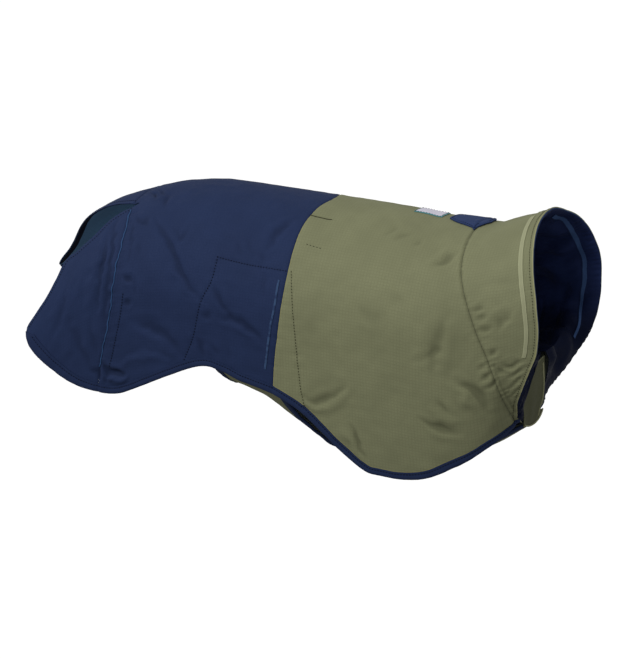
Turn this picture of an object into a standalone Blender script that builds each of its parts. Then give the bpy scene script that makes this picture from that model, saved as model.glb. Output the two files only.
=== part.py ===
"""Dog raincoat in its worn shape, with no wearer: a two-tone back, a wide collar and a belly panel.

Metres, +Z up, +X towards the neck, +Y the dog's left. The origin is on the back line over the
withers. Cloth is drawn in pattern coordinates, (x, girth): x runs along the back, and girth is the
distance from the back line round the coat, below 0 on the dog's right. The form's stations turn
pattern coordinates into the worn shape, and the folds are pressed into it.
"""

import math
from typing import NamedTuple

import bmesh
import bpy
import numpy as np

CLOTH = 0.0012  # coated shell cloth with its inner face
LINING = 0.0010
BINDING = 0.0022  # tape folded round the cloth's edge
TAPE = 0.0010
FACING = 0.0010
WEBBING = 0.0012
GAP = 0.0003
LINING_GAP = 0.0006  # between layers that follow the folds less closely

BINDING_WIDTH = 0.0085
BINDING_TAPER = 0.0200  # along the hem, in which the binding reaches its full width
FACING_INSET, FACING_WIDTH = 0.0004, 0.0075
TAPE_WIDTH = 0.0045
PIPING_WIDTH = 0.0030
PIPING_FROM, PIPING_TO = 0.0040, 0.0010  # from the notch and from the hem
WEBBING_WIDTH = 0.0250
COLLAR_TAPE_INSET = 0.0113  # from the neck edge
LINING_BEHIND_SEAM = 0.0060

BACK_STEPS = 16
SHOULDER_STEPS = 14
COLLAR_STEPS = 7
SIDE_STEPS = 20  # along each flap seam
NOTCH_STEPS = 2  # each side of the notch's deepest point
FLAP_STEPS = 5
TAPER_SHARES = np.array([0.0, 0.2, 0.5, 0.75])
LINING_STEPS = 9
BELLY_STEPS = 22
BELLY_ACROSS = 14
EDGE_CLOSENESS = 0.55  # how much closer the belly panel's columns stand at its side edges
GUSSET_STEPS = 6
TAPE_STEP = 0.0110
SLOPE_STEP = 0.0002

RIGHT, LEFT = -1, 1
SIDE_NAMES = {RIGHT: "right", LEFT: "left"}


class Station(NamedTuple):
    """One cross-section of the worn form: its top, its widest level and where it would close below."""

    x: float
    top: float
    half_width: float
    widest: float
    floor: float


FORM = (
    Station(-0.430, -0.136, 0.070, -0.200, -0.360),
    Station(-0.395, -0.103, 0.084, -0.180, -0.370),
    Station(-0.365, -0.0705, 0.094, -0.155, -0.380),
    Station(-0.336, -0.0395, 0.097, -0.130, -0.380),
    Station(-0.305, -0.0205, 0.099, -0.108, -0.380),
    Station(-0.270, -0.0075, 0.101, -0.098, -0.370),
    Station(-0.235, 0.002, 0.103, -0.097, -0.370),
    Station(-0.190, 0.0064, 0.105, -0.098, -0.370),
    Station(-0.120, 0.0030, 0.107, -0.102, -0.370),
    Station(-0.050, -0.0015, 0.109, -0.106, -0.370),
    Station(0.010, -0.006, 0.109, -0.108, -0.370),
    Station(0.060, -0.011, 0.105, -0.106, -0.350),
    Station(0.095, -0.012, 0.098, -0.100, -0.315),
    Station(0.120, -0.004, 0.093, -0.092, -0.262),
    Station(0.140, 0.002, 0.090, -0.084, -0.2075),
    Station(0.160, 0.011, 0.089, -0.077, -0.203),
    Station(0.195, 0.020, 0.088, -0.074, -0.195),
)


class PatternPoint(NamedTuple):
    """A point of a cut edge or seam: its place along the back, and its distance round from there."""

    x: float
    girth: float


# The finished hem of each side, from the notch over the tail down and forward to the chest.
TAIL_NOTCH = PatternPoint(-0.2640, -0.0415)
HEM_RIGHT = (
    PatternPoint(-0.2712, -0.0471),
    PatternPoint(-0.2861, -0.0566),
    PatternPoint(-0.3010, -0.0761),
    PatternPoint(-0.3148, -0.0853),
    PatternPoint(-0.3285, -0.0875),
    PatternPoint(-0.3365, -0.1040),
    PatternPoint(-0.3460, -0.1150),
    PatternPoint(-0.3570, -0.1190),
    PatternPoint(-0.3668, -0.1235),
    PatternPoint(-0.3661, -0.1383),
    PatternPoint(-0.3580, -0.1587),
    PatternPoint(-0.3414, -0.1908),
    PatternPoint(-0.3198, -0.2210),
    PatternPoint(-0.2980, -0.2394),
    PatternPoint(-0.2726, -0.2507),
    PatternPoint(-0.2480, -0.2495),
    PatternPoint(-0.2079, -0.2368),
    PatternPoint(-0.1715, -0.2235),
    PatternPoint(-0.1504, -0.2252),
    PatternPoint(-0.1291, -0.2323),
    PatternPoint(-0.0983, -0.2396),
    PatternPoint(-0.0742, -0.2500),
    PatternPoint(-0.0579, -0.2611),
    PatternPoint(-0.0293, -0.2874),
    PatternPoint(-0.0029, -0.3076),
    PatternPoint(0.0134, -0.3106),
    PatternPoint(0.0378, -0.3098),
    PatternPoint(0.0637, -0.3021),
    PatternPoint(0.0985, -0.2800),
    PatternPoint(0.1260, -0.2690),
    PatternPoint(0.1500, -0.2690),
)
HEM_LEFT = (
    PatternPoint(-0.2754, -0.0373),
    PatternPoint(-0.2960, -0.0280),
    PatternPoint(-0.3150, -0.0190),
    PatternPoint(-0.3320, -0.0110),
    PatternPoint(-0.3475, -0.0010),
    PatternPoint(-0.3610, 0.0125),
    PatternPoint(-0.3735, 0.0245),
    PatternPoint(-0.3840, 0.0275),
    PatternPoint(-0.3905, 0.0330),
    PatternPoint(-0.3915, 0.0500),
    PatternPoint(-0.3840, 0.0850),
    PatternPoint(-0.3660, 0.1250),
    PatternPoint(-0.3370, 0.1650),
    PatternPoint(-0.3000, 0.2000),
    PatternPoint(-0.2620, 0.2220),
    PatternPoint(-0.2240, 0.2305),
    PatternPoint(-0.1720, 0.2235),
    PatternPoint(-0.1400, 0.2290),
    PatternPoint(-0.0980, 0.2396),
    PatternPoint(-0.0580, 0.2611),
    PatternPoint(-0.0290, 0.2880),
    PatternPoint(0.0000, 0.3080),
    PatternPoint(0.0380, 0.3120),
    PatternPoint(0.0730, 0.3010),
    PatternPoint(0.1070, 0.2790),
    PatternPoint(0.1260, 0.2710),
    PatternPoint(0.1500, 0.2690),
)
# The rear corner of each flap. Between the two the edge is turned in, and the binding starts there.
REAR_CORNER = {RIGHT: PatternPoint(-0.3668, -0.1235), LEFT: PatternPoint(-0.3905, 0.0330)}

# Seams that cross the back, the same on both sides.
MIDDLE_SEAM = (
    PatternPoint(-0.0712, 0.000),
    PatternPoint(-0.0765, 0.031),
    PatternPoint(-0.0812, 0.070),
    PatternPoint(-0.0820, 0.120),
    PatternPoint(-0.0870, 0.172),
    PatternPoint(-0.0915, 0.205),
    PatternPoint(-0.0955, 0.250),
)
COLLAR_SEAM = (
    PatternPoint(0.0830, 0.000),
    PatternPoint(0.0840, 0.045),
    PatternPoint(0.0881, 0.080),
    PatternPoint(0.0949, 0.101),
    PatternPoint(0.1041, 0.124),
    PatternPoint(0.1136, 0.151),
    PatternPoint(0.1231, 0.178),
    PatternPoint(0.1295, 0.207),
    PatternPoint(0.1325, 0.235),
    PatternPoint(0.1330, 0.285),
)
NECK_EDGE_RIGHT = (
    PatternPoint(0.1505, 0.000),
    PatternPoint(0.1523, 0.036),
    PatternPoint(0.1560, 0.065),
    PatternPoint(0.1620, 0.095),
    PatternPoint(0.1690, 0.130),
    PatternPoint(0.1712, 0.155),
    PatternPoint(0.1690, 0.177),
    PatternPoint(0.1605, 0.197),
    PatternPoint(0.1505, 0.217),
    PatternPoint(0.1425, 0.235),
    PatternPoint(0.1390, 0.258),
    PatternPoint(0.1385, 0.285),
)
NECK_EDGE_LEFT = (
    PatternPoint(0.1505, 0.000),
    PatternPoint(0.1530, 0.036),
    PatternPoint(0.1635, 0.067),
    PatternPoint(0.1720, 0.095),
    PatternPoint(0.1782, 0.130),
    PatternPoint(0.1785, 0.155),
    PatternPoint(0.1765, 0.177),
    PatternPoint(0.1700, 0.199),
    PatternPoint(0.1570, 0.220),
    PatternPoint(0.1430, 0.239),
    PatternPoint(0.1368, 0.255),
    PatternPoint(0.1368, 0.285),
)
# The seam of each rear flap, from beside the tail notch down past the hem.
FLAP_SEAM_START = {RIGHT: PatternPoint(-0.2717, -0.0430), LEFT: PatternPoint(-0.2712, -0.0430)}
FLAP_SEAM = (
    PatternPoint(-0.2665, 0.0720),
    PatternPoint(-0.2645, 0.0950),
    PatternPoint(-0.2658, 0.1240),
    PatternPoint(-0.2690, 0.1570),
    PatternPoint(-0.2745, 0.1830),
    PatternPoint(-0.2830, 0.2130),
    PatternPoint(-0.2900, 0.2520),
)
FLAP_TIP = 0.006

SIDE_TAPE = (
    PatternPoint(-0.0892, 0.1248),
    PatternPoint(-0.0909, 0.1504),
    PatternPoint(-0.0947, 0.1707),
    PatternPoint(-0.1002, 0.2071),
    PatternPoint(-0.1015, 0.2156),
)
GIRTH_STRAP = (
    PatternPoint(-0.1370, 0.160),
    PatternPoint(-0.1370, 0.180),
    PatternPoint(-0.1370, 0.200),
    PatternPoint(-0.1370, 0.211),
)
COLLAR_TAPE_FROM, COLLAR_TAPE_TO = 0.024, 0.180  # girth
LINING_TAPE_FROM, LINING_TAPE_TO = 0.77, 0.83  # of the lining's depth, from its rear to the neck
LINING_TAPE_COLUMNS = slice(4, 17)  # of one half of the lining, from the back line


class TabRow(NamedTuple):
    """One section of the tab over the lead opening, from its near edge to its far edge."""

    x: float
    near: float
    far: float


LEASH_TAB = (
    TabRow(0.0515, -0.0035, 0.0235),
    TabRow(0.0570, -0.0080, 0.0280),
    TabRow(0.0650, -0.0125, 0.0325),
    TabRow(0.0740, -0.0160, 0.0360),
    TabRow(0.0790, -0.0190, 0.0390),
    TabRow(0.0830, -0.0228, 0.0428),
    TabRow(0.0855, -0.0170, 0.0370),
    TabRow(0.0885, -0.0095, 0.0295),
    TabRow(0.0925, 0.0030, 0.0170),
)
LABEL_FROM, LABEL_TO = PatternPoint(0.0130, -0.0090), PatternPoint(0.0450, 0.0290)


class Fold(NamedTuple):
    """A soft crease in the cloth between two pattern points; a hollow has its depth below 0."""

    start: tuple
    end: tuple
    width: float
    depth: float


def both_sides(*rows):
    """The same creases on the right and on the left of the coat."""
    folds = []
    for (x0, girth0), (x1, girth1), width, depth in rows:
        for side in (RIGHT, LEFT):
            folds.append(Fold((x0, side * girth0), (x1, side * girth1), width, depth))
    return folds


REAR_FOLDS = both_sides(
    ((-0.262, 0.050), (-0.180, 0.205), 0.010, -0.0030),
    ((-0.255, 0.040), (-0.130, 0.150), 0.012, -0.0022),
    ((-0.285, 0.075), (-0.330, 0.200), 0.011, -0.0028),
    ((-0.240, 0.030), (-0.215, 0.150), 0.011, 0.0022),
    ((-0.300, 0.085), (-0.300, 0.210), 0.012, 0.0026),
)
SHOULDER_FOLDS = both_sides(
    ((-0.040, 0.245), (0.030, 0.205), 0.011, -0.0030),
    ((-0.010, 0.250), (0.000, 0.295), 0.008, -0.0028),
    ((0.050, 0.150), (0.118, 0.200), 0.013, -0.0028),
    ((0.060, 0.225), (0.120, 0.225), 0.011, -0.0026),
    ((0.040, 0.060), (0.085, 0.130), 0.014, 0.0024),
    ((0.118, 0.120), (0.150, 0.150), 0.009, -0.0020),
)


class BellyRow(NamedTuple):
    """One cross-section of the belly panel: its lowest line, and the height where its sides stand up."""

    x: float
    bottom: float
    side: float


BELLY = (
    BellyRow(-0.1650, -0.190, -0.126),
    BellyRow(-0.1200, -0.207, -0.130),
    BellyRow(-0.0800, -0.233, -0.145),
    BellyRow(-0.0500, -0.250, -0.160),
    BellyRow(0.0000, -0.264, -0.172),
    BellyRow(0.0500, -0.264, -0.178),
    BellyRow(0.1000, -0.234, -0.166),
    BellyRow(0.1250, -0.218, -0.150),
    BellyRow(0.1385, -0.2085, -0.138),
)
BELLY_REAR, BELLY_FRONT = -0.1650, 0.1385
# The belly panel's finished side edge, with the hollow behind the front leg; girth from its middle.
BELLY_EDGE = (
    PatternPoint(-0.1650, 0.122),
    PatternPoint(-0.1400, 0.124),
    PatternPoint(-0.1150, 0.122),
    PatternPoint(-0.0960, 0.106),
    PatternPoint(-0.0800, 0.080),
    PatternPoint(-0.0620, 0.056),
    PatternPoint(-0.0400, 0.045),
    PatternPoint(0.0000, 0.041),
    PatternPoint(0.0500, 0.040),
    PatternPoint(0.1000, 0.037),
    PatternPoint(0.1385, 0.0335),
)
BELLY_CLEARANCE = CLOTH + WEBBING + 3 * GAP  # from the side's outer face to the belly panel's

THROAT_TOP = np.array([0.1480, 0.0, -0.1390])
NECK_FLOOR = np.array([0.0950, 0.0, -0.1650])  # the lining's lowest line at the back of the collar
THROAT_FOOT_GIRTH = 0.276
THROAT_REACHED = 0.55  # of the lining's depth, where its lowest line reaches the throat piece
LINING_TURNS = 0.150  # girth at which the lining turns in towards the throat
LINING_TURN_SHARE = 0.62
GUSSET_BULGE = 0.004
GUSSET_TIP = 0.0015

COLOURS = {
    "navy": (0.016, 0.022, 0.075),
    "dark navy": (0.010, 0.016, 0.050),
    "olive": (0.165, 0.175, 0.100),
    "light olive": (0.260, 0.275, 0.170),
    "blue": (0.030, 0.085, 0.190),
    "off-white": (0.720, 0.720, 0.740),
}


# ---- the worn form ----


def rising_curve(knots, values, at):
    """Monotone cubic through the rows of a table, so that no stretch overshoots its rows."""
    knots, values = np.asarray(knots, float), np.asarray(values, float)
    at = np.clip(np.asarray(at, float), knots[0], knots[-1])
    span = np.diff(knots)
    slope = np.diff(values) / span
    turns = slope[:-1] * slope[1:] > 0
    before, after = 2 * span[1:] + span[:-1], span[1:] + 2 * span[:-1]
    inner = np.zeros(len(slope) - 1)
    weights = before[turns] / slope[:-1][turns] + after[turns] / slope[1:][turns]
    inner[turns] = (before + after)[turns] / weights
    tangent = np.concatenate([[slope[0]], inner, [slope[-1]]])
    row = np.clip(np.searchsorted(knots, at) - 1, 0, len(span) - 1)
    t = (at - knots[row]) / span[row]
    return (
        (2 * t**3 - 3 * t**2 + 1) * values[row]
        + (t**3 - 2 * t**2 + t) * span[row] * tangent[row]
        + (3 * t**2 - 2 * t**3) * values[row + 1]
        + (t**3 - t**2) * span[row] * tangent[row + 1]
    )


def column(rows, name, at, along="x"):
    """One column of a table, read at places along another."""
    return rising_curve([getattr(row, along) for row in rows], [getattr(row, name) for row in rows], at)


def along_sections(widths, heights, x, girth):
    """Points at these distances along half cross-sections, which are given as a row for each x."""
    steps = np.hypot(np.diff(widths), np.diff(heights))
    girths = np.concatenate([np.zeros((len(x), 1)), np.cumsum(steps, axis=1)], axis=1)
    distance = np.abs(girth)
    rows = np.arange(len(x))
    after = np.clip((girths < distance[:, None]).sum(axis=1), 1, girths.shape[1] - 1)
    before = after - 1
    part = (distance - girths[rows, before]) / (girths[rows, after] - girths[rows, before])
    width = widths[rows, before] + part * (widths[rows, after] - widths[rows, before])
    height = heights[rows, before] + part * (heights[rows, after] - heights[rows, before])
    return np.column_stack([x, np.where(girth < 0, -width, width), height])


HALF_TURN = np.linspace(0, math.pi, 361)


def on_form(pattern):
    """Pattern points on the smooth form, before the folds."""
    x, girth = pattern.T
    top, half_width, widest, floor = (
        column(FORM, name, x)[:, None] for name in ("top", "half_width", "widest", "floor")
    )
    rise = np.where(HALF_TURN < math.pi / 2, top - widest, widest - floor)
    return along_sections(half_width * np.sin(HALF_TURN), widest + rise * np.cos(HALF_TURN), x, girth)


def form_half_width(x, height):
    """Half the form's width at a height below its widest level."""
    widest, floor = column(FORM, "widest", x), column(FORM, "floor", x)
    return column(FORM, "half_width", x) * np.sqrt(1 - ((widest - height) / (widest - floor)) ** 2)


def fold_depth(pattern):
    """How far the folds lift the cloth off the form at each pattern point."""
    depth = np.zeros(len(pattern))
    for fold in REAR_FOLDS + SHOULDER_FOLDS:
        start, along = np.array(fold.start), np.subtract(fold.end, fold.start)
        part = ((pattern - start) @ along) / (along @ along)
        nearest = start + np.clip(part, 0, 1)[:, None] * along
        away = np.linalg.norm(pattern - nearest, axis=1)
        taper = np.sin(math.pi * np.clip(0.15 + 0.7 * part, 0, 1)) ** 2
        depth += fold.depth * taper * np.exp(-((away / fold.width) ** 2))
    return depth


def normals(surface, pattern):
    """Upward directions of a surface that is given in pattern coordinates."""
    along = surface(pattern + (SLOPE_STEP, 0)) - surface(pattern - (SLOPE_STEP, 0))
    around = surface(pattern + (0, SLOPE_STEP)) - surface(pattern - (0, SLOPE_STEP))
    across = np.cross(along, around)
    return across / np.linalg.norm(across, axis=1)[:, None]


def folded(pattern):
    """Pattern points on the worn cloth's outer face."""
    return on_form(pattern) + fold_depth(pattern)[:, None] * normals(on_form, pattern)


def worn(pattern, out=0.0):
    """Pattern points moved out from the worn cloth's outer face."""
    return folded(pattern) + np.reshape(out, (-1, 1)) * normals(folded, pattern)


QUARTER_TURN = np.linspace(0, math.pi / 2, 181)
BELLY_STAND = np.linspace(0, 0.03, 4)[1:]  # straight up past the quarter turn


def on_belly(pattern):
    """Belly pattern points, with girth measured from the middle of the belly."""
    x, girth = pattern.T
    bottom, side = column(BELLY, "bottom", x), column(BELLY, "side", x)
    half_width = form_half_width(x, side) - BELLY_CLEARANCE
    widths = half_width[:, None] * np.sin(QUARTER_TURN)
    heights = side[:, None] - (side - bottom)[:, None] * np.cos(QUARTER_TURN)
    widths = np.hstack([widths, np.repeat(half_width[:, None], len(BELLY_STAND), axis=1)])
    heights = np.hstack([heights, side[:, None] + BELLY_STAND])
    return along_sections(widths, heights, x, girth)


def belly(pattern, out=0.0):
    """Belly pattern points, moved out from the panel's outer face, which looks down."""
    return on_belly(pattern) - out * normals(on_belly, pattern)


# ---- lines of the pattern ----


def spline(rows, samples=16):
    """A smooth line through pattern points, as closely spaced points."""
    knots = np.array(rows, float)
    knots = np.vstack([2 * knots[0] - knots[1], knots, 2 * knots[-1] - knots[-2]])
    t = np.linspace(0, 1, samples, endpoint=False)[:, None]
    runs = [
        0.5 * (2 * b + (c - a) * t + (2 * a - 5 * b + 4 * c - d) * t**2 + (3 * b - a - 3 * c + d) * t**3)
        for a, b, c, d in zip(knots, knots[1:], knots[2:], knots[3:])
    ]
    return np.vstack(runs + [knots[-2][None]])


def shares_along(points):
    """How far along a line of points each of them is, from 0 to 1."""
    steps = np.linalg.norm(np.diff(points, axis=0), axis=1)
    return np.concatenate([[0], np.cumsum(steps)]) / steps.sum()


class Line:
    """A line in the pattern, measured by marks along it."""

    def __init__(self, points, marks=None):
        steps = np.linalg.norm(np.diff(points, axis=0), axis=1)
        self.points = points
        self.marks = np.concatenate([[0], np.cumsum(steps)]) if marks is None else marks

    def at(self, marks):
        """Points at these marks."""
        return np.column_stack([np.interp(marks, self.marks, self.points[:, k]) for k in (0, 1)])

    def beside(self, marks, distance):
        """Points beside the line, to its left where the distance is above 0."""
        ahead = self.at(np.asarray(marks) + 0.002) - self.at(np.asarray(marks) - 0.002)
        ahead /= np.linalg.norm(ahead, axis=1)[:, None]
        return self.at(marks) + np.reshape(distance, (-1, 1)) * np.column_stack([-ahead[:, 1], ahead[:, 0]])

    def shifted(self, distance):
        """The line moved sideways, with its marks kept."""
        return Line(self.beside(self.marks, distance), self.marks)

    def mark_near(self, point):
        """The mark of the line's point nearest this one."""
        return self.marks[np.linalg.norm(self.points - np.array(point), axis=1).argmin()]

    def mark_of_girth(self, girth):
        """The mark where a line whose girth rises along it has this girth."""
        return float(np.interp(girth, self.points[:, 1], self.marks))

    def crossings(self, other):
        """Pairs of marks, on this line and on the other, where the two cross, in this line's order."""
        a, r = self.points[:-1, None], np.diff(self.points, axis=0)[:, None]
        c, s = other.points[None, :-1], np.diff(other.points, axis=0)[None]
        turn = r[..., 0] * s[..., 1] - r[..., 1] * s[..., 0]
        turn = np.where(np.abs(turn) < 1e-15, np.inf, turn)
        t = ((c - a)[..., 0] * s[..., 1] - (c - a)[..., 1] * s[..., 0]) / turn
        u = ((c - a)[..., 0] * r[..., 1] - (c - a)[..., 1] * r[..., 0]) / turn
        found = np.argwhere((t >= 0) & (t < 1) & (u >= 0) & (u < 1))
        return sorted(
            (
                self.marks[i] + t[i, j] * (self.marks[i + 1] - self.marks[i]),
                other.marks[j] + u[i, j] * (other.marks[j + 1] - other.marks[j]),
            )
            for i, j in found
        )


def crossing_line(right_rows, left_rows):
    """A line across the back, from the right hem over the back line to the left hem."""
    rows = [(-row.girth, row.x) for row in reversed(right_rows[1:])]
    rows += [(row.girth, row.x) for row in left_rows]
    girths, places = zip(*rows)
    girth = np.linspace(girths[0], girths[-1], 241)
    return Line(np.column_stack([rising_curve(girths, places, girth), girth]))


def flap_seam(side):
    """The seam of one rear flap, from the tail notch down past the hem."""
    return Line(spline([FLAP_SEAM_START[side]] + [(row.x, side * row.girth) for row in FLAP_SEAM]))


def side_line(rows, side):
    """A line of one side of the coat, from rows that hold for both."""
    return Line(spline([(row.x, side * row.girth) for row in rows]))


class Cut:
    """The coat's cut: its lines, and the marks where they meet the cloth's edge inside the binding."""

    def __init__(self):
        hem_rows = list(reversed(HEM_RIGHT)) + [TAIL_NOTCH] + list(HEM_LEFT)
        self.hem = Line(spline(hem_rows))
        self.notch = self.hem.mark_near(TAIL_NOTCH)
        self.corners = {side: self.hem.mark_near(REAR_CORNER[side]) for side in (RIGHT, LEFT)}
        self.edge = self.hem.shifted(-(BINDING_WIDTH + GAP) * self.bound(self.hem.marks))
        self.neck = crossing_line(NECK_EDGE_RIGHT, NECK_EDGE_LEFT)
        middle, collar = crossing_line(MIDDLE_SEAM, MIDDLE_SEAM), crossing_line(COLLAR_SEAM, COLLAR_SEAM)
        self.collar = collar
        self.behind_middle, self.ahead_of_middle = middle.shifted(GAP / 2), middle.shifted(-GAP / 2)
        self.behind_collar, self.ahead_of_collar = collar.shifted(GAP / 2), collar.shifted(-GAP / 2)
        self.flap_seams = {side: flap_seam(side) for side in (RIGHT, LEFT)}
        self.rear = self.rear_line()
        self.across = shares_along(self.rear)

    def bound(self, marks):
        """How much of its full width the hem binding has at these marks: none between the rear corners."""
        past_corner = np.maximum(self.corners[RIGHT] - marks, marks - self.corners[LEFT])
        return np.clip(past_corner / BINDING_TAPER, 0, 1)

    def flap_line(self, side, ahead):
        """A flap's seam moved half a gap ahead of it or behind it, and its feet on the edge."""
        line = self.flap_seams[side].shifted(-side * ahead * GAP / 2)
        feet = self.edge.crossings(line)
        return line, feet if side == RIGHT else feet[::-1]

    def rear_line(self):
        """The back panel's rear edge: up the right flap's seam, round the notch, down the left's."""
        right, (right_foot, right_top) = self.flap_line(RIGHT, 1)
        left, (left_foot, left_top) = self.flap_line(LEFT, 1)
        self.rear_feet = [right_foot[0], left_foot[0]]
        up = right.at(np.linspace(right_foot[1], right_top[1], SIDE_STEPS + 1))
        self.notch_marks = {
            RIGHT: np.linspace(right_top[0], self.notch, NOTCH_STEPS + 1),
            LEFT: np.linspace(self.notch, left_top[0], NOTCH_STEPS + 1),
        }
        notch = self.edge.at(np.concatenate([self.notch_marks[RIGHT], self.notch_marks[LEFT][1:]]))
        down = left.at(np.linspace(left_top[1], left_foot[1], SIDE_STEPS + 1))
        return np.vstack([up[:-1], notch, down[1:]])

    def seam(self, line):
        """A seam's points, one for each column of the panels, and its feet on the edge."""
        (right_foot, right), (left_foot, left) = self.edge.crossings(line)
        return line.at(right + self.across * (left - right)), [right_foot, left_foot]

    def neck_x(self, girth):
        """Where the neck edge is at a girth."""
        return np.interp(girth, self.neck.points[:, 1], self.neck.points[:, 0])


def patch(first, last, start, end):
    """A grid between four edges: first and last run side by side, start and end join their ends."""
    s = np.linspace(0, 1, len(start))[:, None, None]
    t = shares_along(first)[None, :, None]
    ruled = (1 - s) * first[None] + s * last[None]
    joined = (1 - t) * start[:, None] + t * end[:, None]
    corners = (
        (1 - s) * (1 - t) * first[0] + (1 - s) * t * first[-1] + s * (1 - t) * last[0] + s * t * last[-1]
    )
    return ruled + joined - corners


# ---- pieces ----


def finish(name):
    """A plain cloth material in one of the coat's colours."""
    found = bpy.data.materials.get(name)
    if found:
        return found
    made = bpy.data.materials.new(name)
    made.use_nodes = True
    shader = made.node_tree.nodes["Principled BSDF"]
    shader.inputs["Base Color"].default_value = (*COLOURS[name], 1)
    shader.inputs["Roughness"].default_value = 0.75
    shader.inputs["Metallic"].default_value = 0.0
    return made


def wall(name, grid, thickness, colour):
    """A cloth wall: a grid of points on its outer face, thickened inwards."""
    rows, columns = grid.shape[:2]
    mesh = bmesh.new()
    points = [[mesh.verts.new(point) for point in line] for line in grid]
    for i in range(rows - 1):
        for j in range(columns - 1):
            mesh.faces.new((points[i][j], points[i + 1][j], points[i + 1][j + 1], points[i][j + 1]))
    data = bpy.data.meshes.new(name)
    mesh.to_mesh(data)
    mesh.free()
    data.materials.append(finish(colour))
    data.shade_smooth()
    piece = bpy.data.objects.new(name, data)
    bpy.context.scene.collection.objects.link(piece)
    solid = piece.modifiers.new("wall", "SOLIDIFY")
    solid.thickness = thickness
    solid.offset = -1


def worn_wall(name, pattern_grid, thickness, colour, out=0.0):
    """A wall laid on the worn form from a grid in the pattern."""
    points = worn(pattern_grid.reshape(-1, 2), out)
    wall(name, points.reshape(*pattern_grid.shape[:2], 3), thickness, colour)


def belly_wall(name, pattern_grid, thickness, colour, out=0.0):
    """A wall laid on the belly's form, with its outer face down."""
    points = belly(pattern_grid[:, ::-1].reshape(-1, 2), out)
    wall(name, points.reshape(*pattern_grid.shape[:2], 3), thickness, colour)


def band(cut, name, colour, behind, ahead, steps, hem_marks):
    """A panel that crosses the back between two lines, down to the hem on each side."""
    (first, first_feet), (last, last_feet) = behind, ahead
    sides = []
    for side, start, end in zip((RIGHT, LEFT), first_feet, last_feet):
        marks = np.linspace(start, end, steps + 1)
        hem_marks[side].append(marks)
        sides.append(cut.edge.at(marks))
    worn_wall(name, patch(first, last, *sides), CLOTH, colour)


def rear_flap(cut, side, hem_marks):
    """The navy flap behind its seam on one side, from the tail notch to the hem."""
    line, ((foot, seam_foot), (top, seam_top)) = cut.flap_line(side, -1)
    corner = cut.corners[side]
    full = corner + side * BINDING_TAPER
    taper = corner + side * BINDING_TAPER * TAPER_SHARES
    below_top = top + side * FLAP_TIP
    seam = line.at(np.linspace(seam_foot, seam_top, SIDE_STEPS + 1))
    runs = [
        np.linspace(corner, below_top, SIDE_STEPS + 1),
        np.concatenate([taper, np.linspace(full, foot, FLAP_STEPS + 1)]),
        np.linspace(below_top, top, FLAP_STEPS + len(taper) + 1),
    ]
    hem_marks[side] += runs
    rear, bottom, tip = (cut.edge.at(marks) for marks in runs)
    grid = patch(rear, seam, bottom, tip)
    worn_wall(f"rear_flap_{SIDE_NAMES[side]}", grid if side == RIGHT else grid[:, ::-1], CLOTH, "navy")


def hem_edges(cut, side, hem_marks):
    """The tape folded round one side's hem, and the narrow facing inside the flap's rear edge."""
    marks = np.unique(np.round(np.concatenate(hem_marks[side] + [cut.notch_marks[side]]), 7))
    marks[marks == round(cut.notch, 7)] += side * GAP / 2
    marks = marks[::side]
    bound = cut.bound(marks)
    folded_over = bound >= TAPER_SHARES[1] - 1e-4
    hem, width = marks[folded_over], (BINDING_WIDTH + GAP) * bound[folded_over] - GAP
    inner, middle, outer = (cut.hem.beside(hem, -width * share) for share in (1, 0.5, 0))
    lines = (outer, middle, inner) if side == RIGHT else (outer[::-1], middle[::-1], inner[::-1])
    out = (BINDING - CLOTH) / 2
    worn_wall(f"hem_binding_{SIDE_NAMES[side]}", np.stack(lines, axis=1), BINDING, "dark navy", out)

    rear = marks[bound <= 0]
    lines = [cut.hem.beside(rear, -inset) for inset in (FACING_INSET, FACING_WIDTH)]
    if side == LEFT:
        lines = [line[::-1] for line in lines]
    out = -(CLOTH + LINING_GAP)
    worn_wall(f"rear_facing_{SIDE_NAMES[side]}", np.stack(lines, axis=1), FACING, "dark navy", out)


def ribbon(name, line, start, end, width, colour, out, thickness):
    """A narrow tape along a line of the pattern, its outer face this far out from the cloth's."""
    marks = np.linspace(start, end, max(3, round(abs(end - start) / TAPE_STEP)) + 1)
    grid = np.stack([line.beside(marks, -width / 2), line.beside(marks, width / 2)], axis=1)
    worn_wall(name, grid, thickness, colour, out)


def tapes(cut, side):
    """The tapes and piping of one side."""
    name = SIDE_NAMES[side]
    on_top = LINING_GAP + TAPE
    seam = cut.flap_seams[side]
    foot, top = (marks[1] for marks in cut.flap_line(side, 1)[1])
    start, end = top + PIPING_FROM, foot - PIPING_TO
    ribbon(f"rear_piping_{name}", seam, start, end, PIPING_WIDTH, "blue", on_top, TAPE)
    strip = side_line(SIDE_TAPE, side)
    ribbon(f"side_tape_{name}", strip, 0, strip.marks[-1], PIPING_WIDTH, "blue", on_top, TAPE)
    collar = cut.neck.shifted(COLLAR_TAPE_INSET)
    start, end = (collar.mark_of_girth(side * girth) for girth in (COLLAR_TAPE_FROM, COLLAR_TAPE_TO))
    ribbon(f"collar_tape_{name}", collar, *sorted((start, end)), TAPE_WIDTH, "light olive", on_top, TAPE)
    strap = side_line(GIRTH_STRAP, side)
    ribbon(f"girth_strap_{name}", strap, 0, strap.marks[-1], WEBBING_WIDTH, "navy", -(CLOTH + GAP), WEBBING)


def leash_tab():
    """The navy tab over the lead opening, with its point towards the right."""
    x = np.linspace(LEASH_TAB[0].x, LEASH_TAB[-1].x, 13)
    near, far = column(LEASH_TAB, "near", x), column(LEASH_TAB, "far", x)
    share = np.linspace(0, 1, 5)
    girth = near[:, None] + share * (far - near)[:, None]
    grid = np.stack([np.repeat(x[:, None], len(share), axis=1), girth], axis=2)
    worn_wall("leash_tab", grid, TAPE, "navy", LINING_GAP + TAPE)


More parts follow.
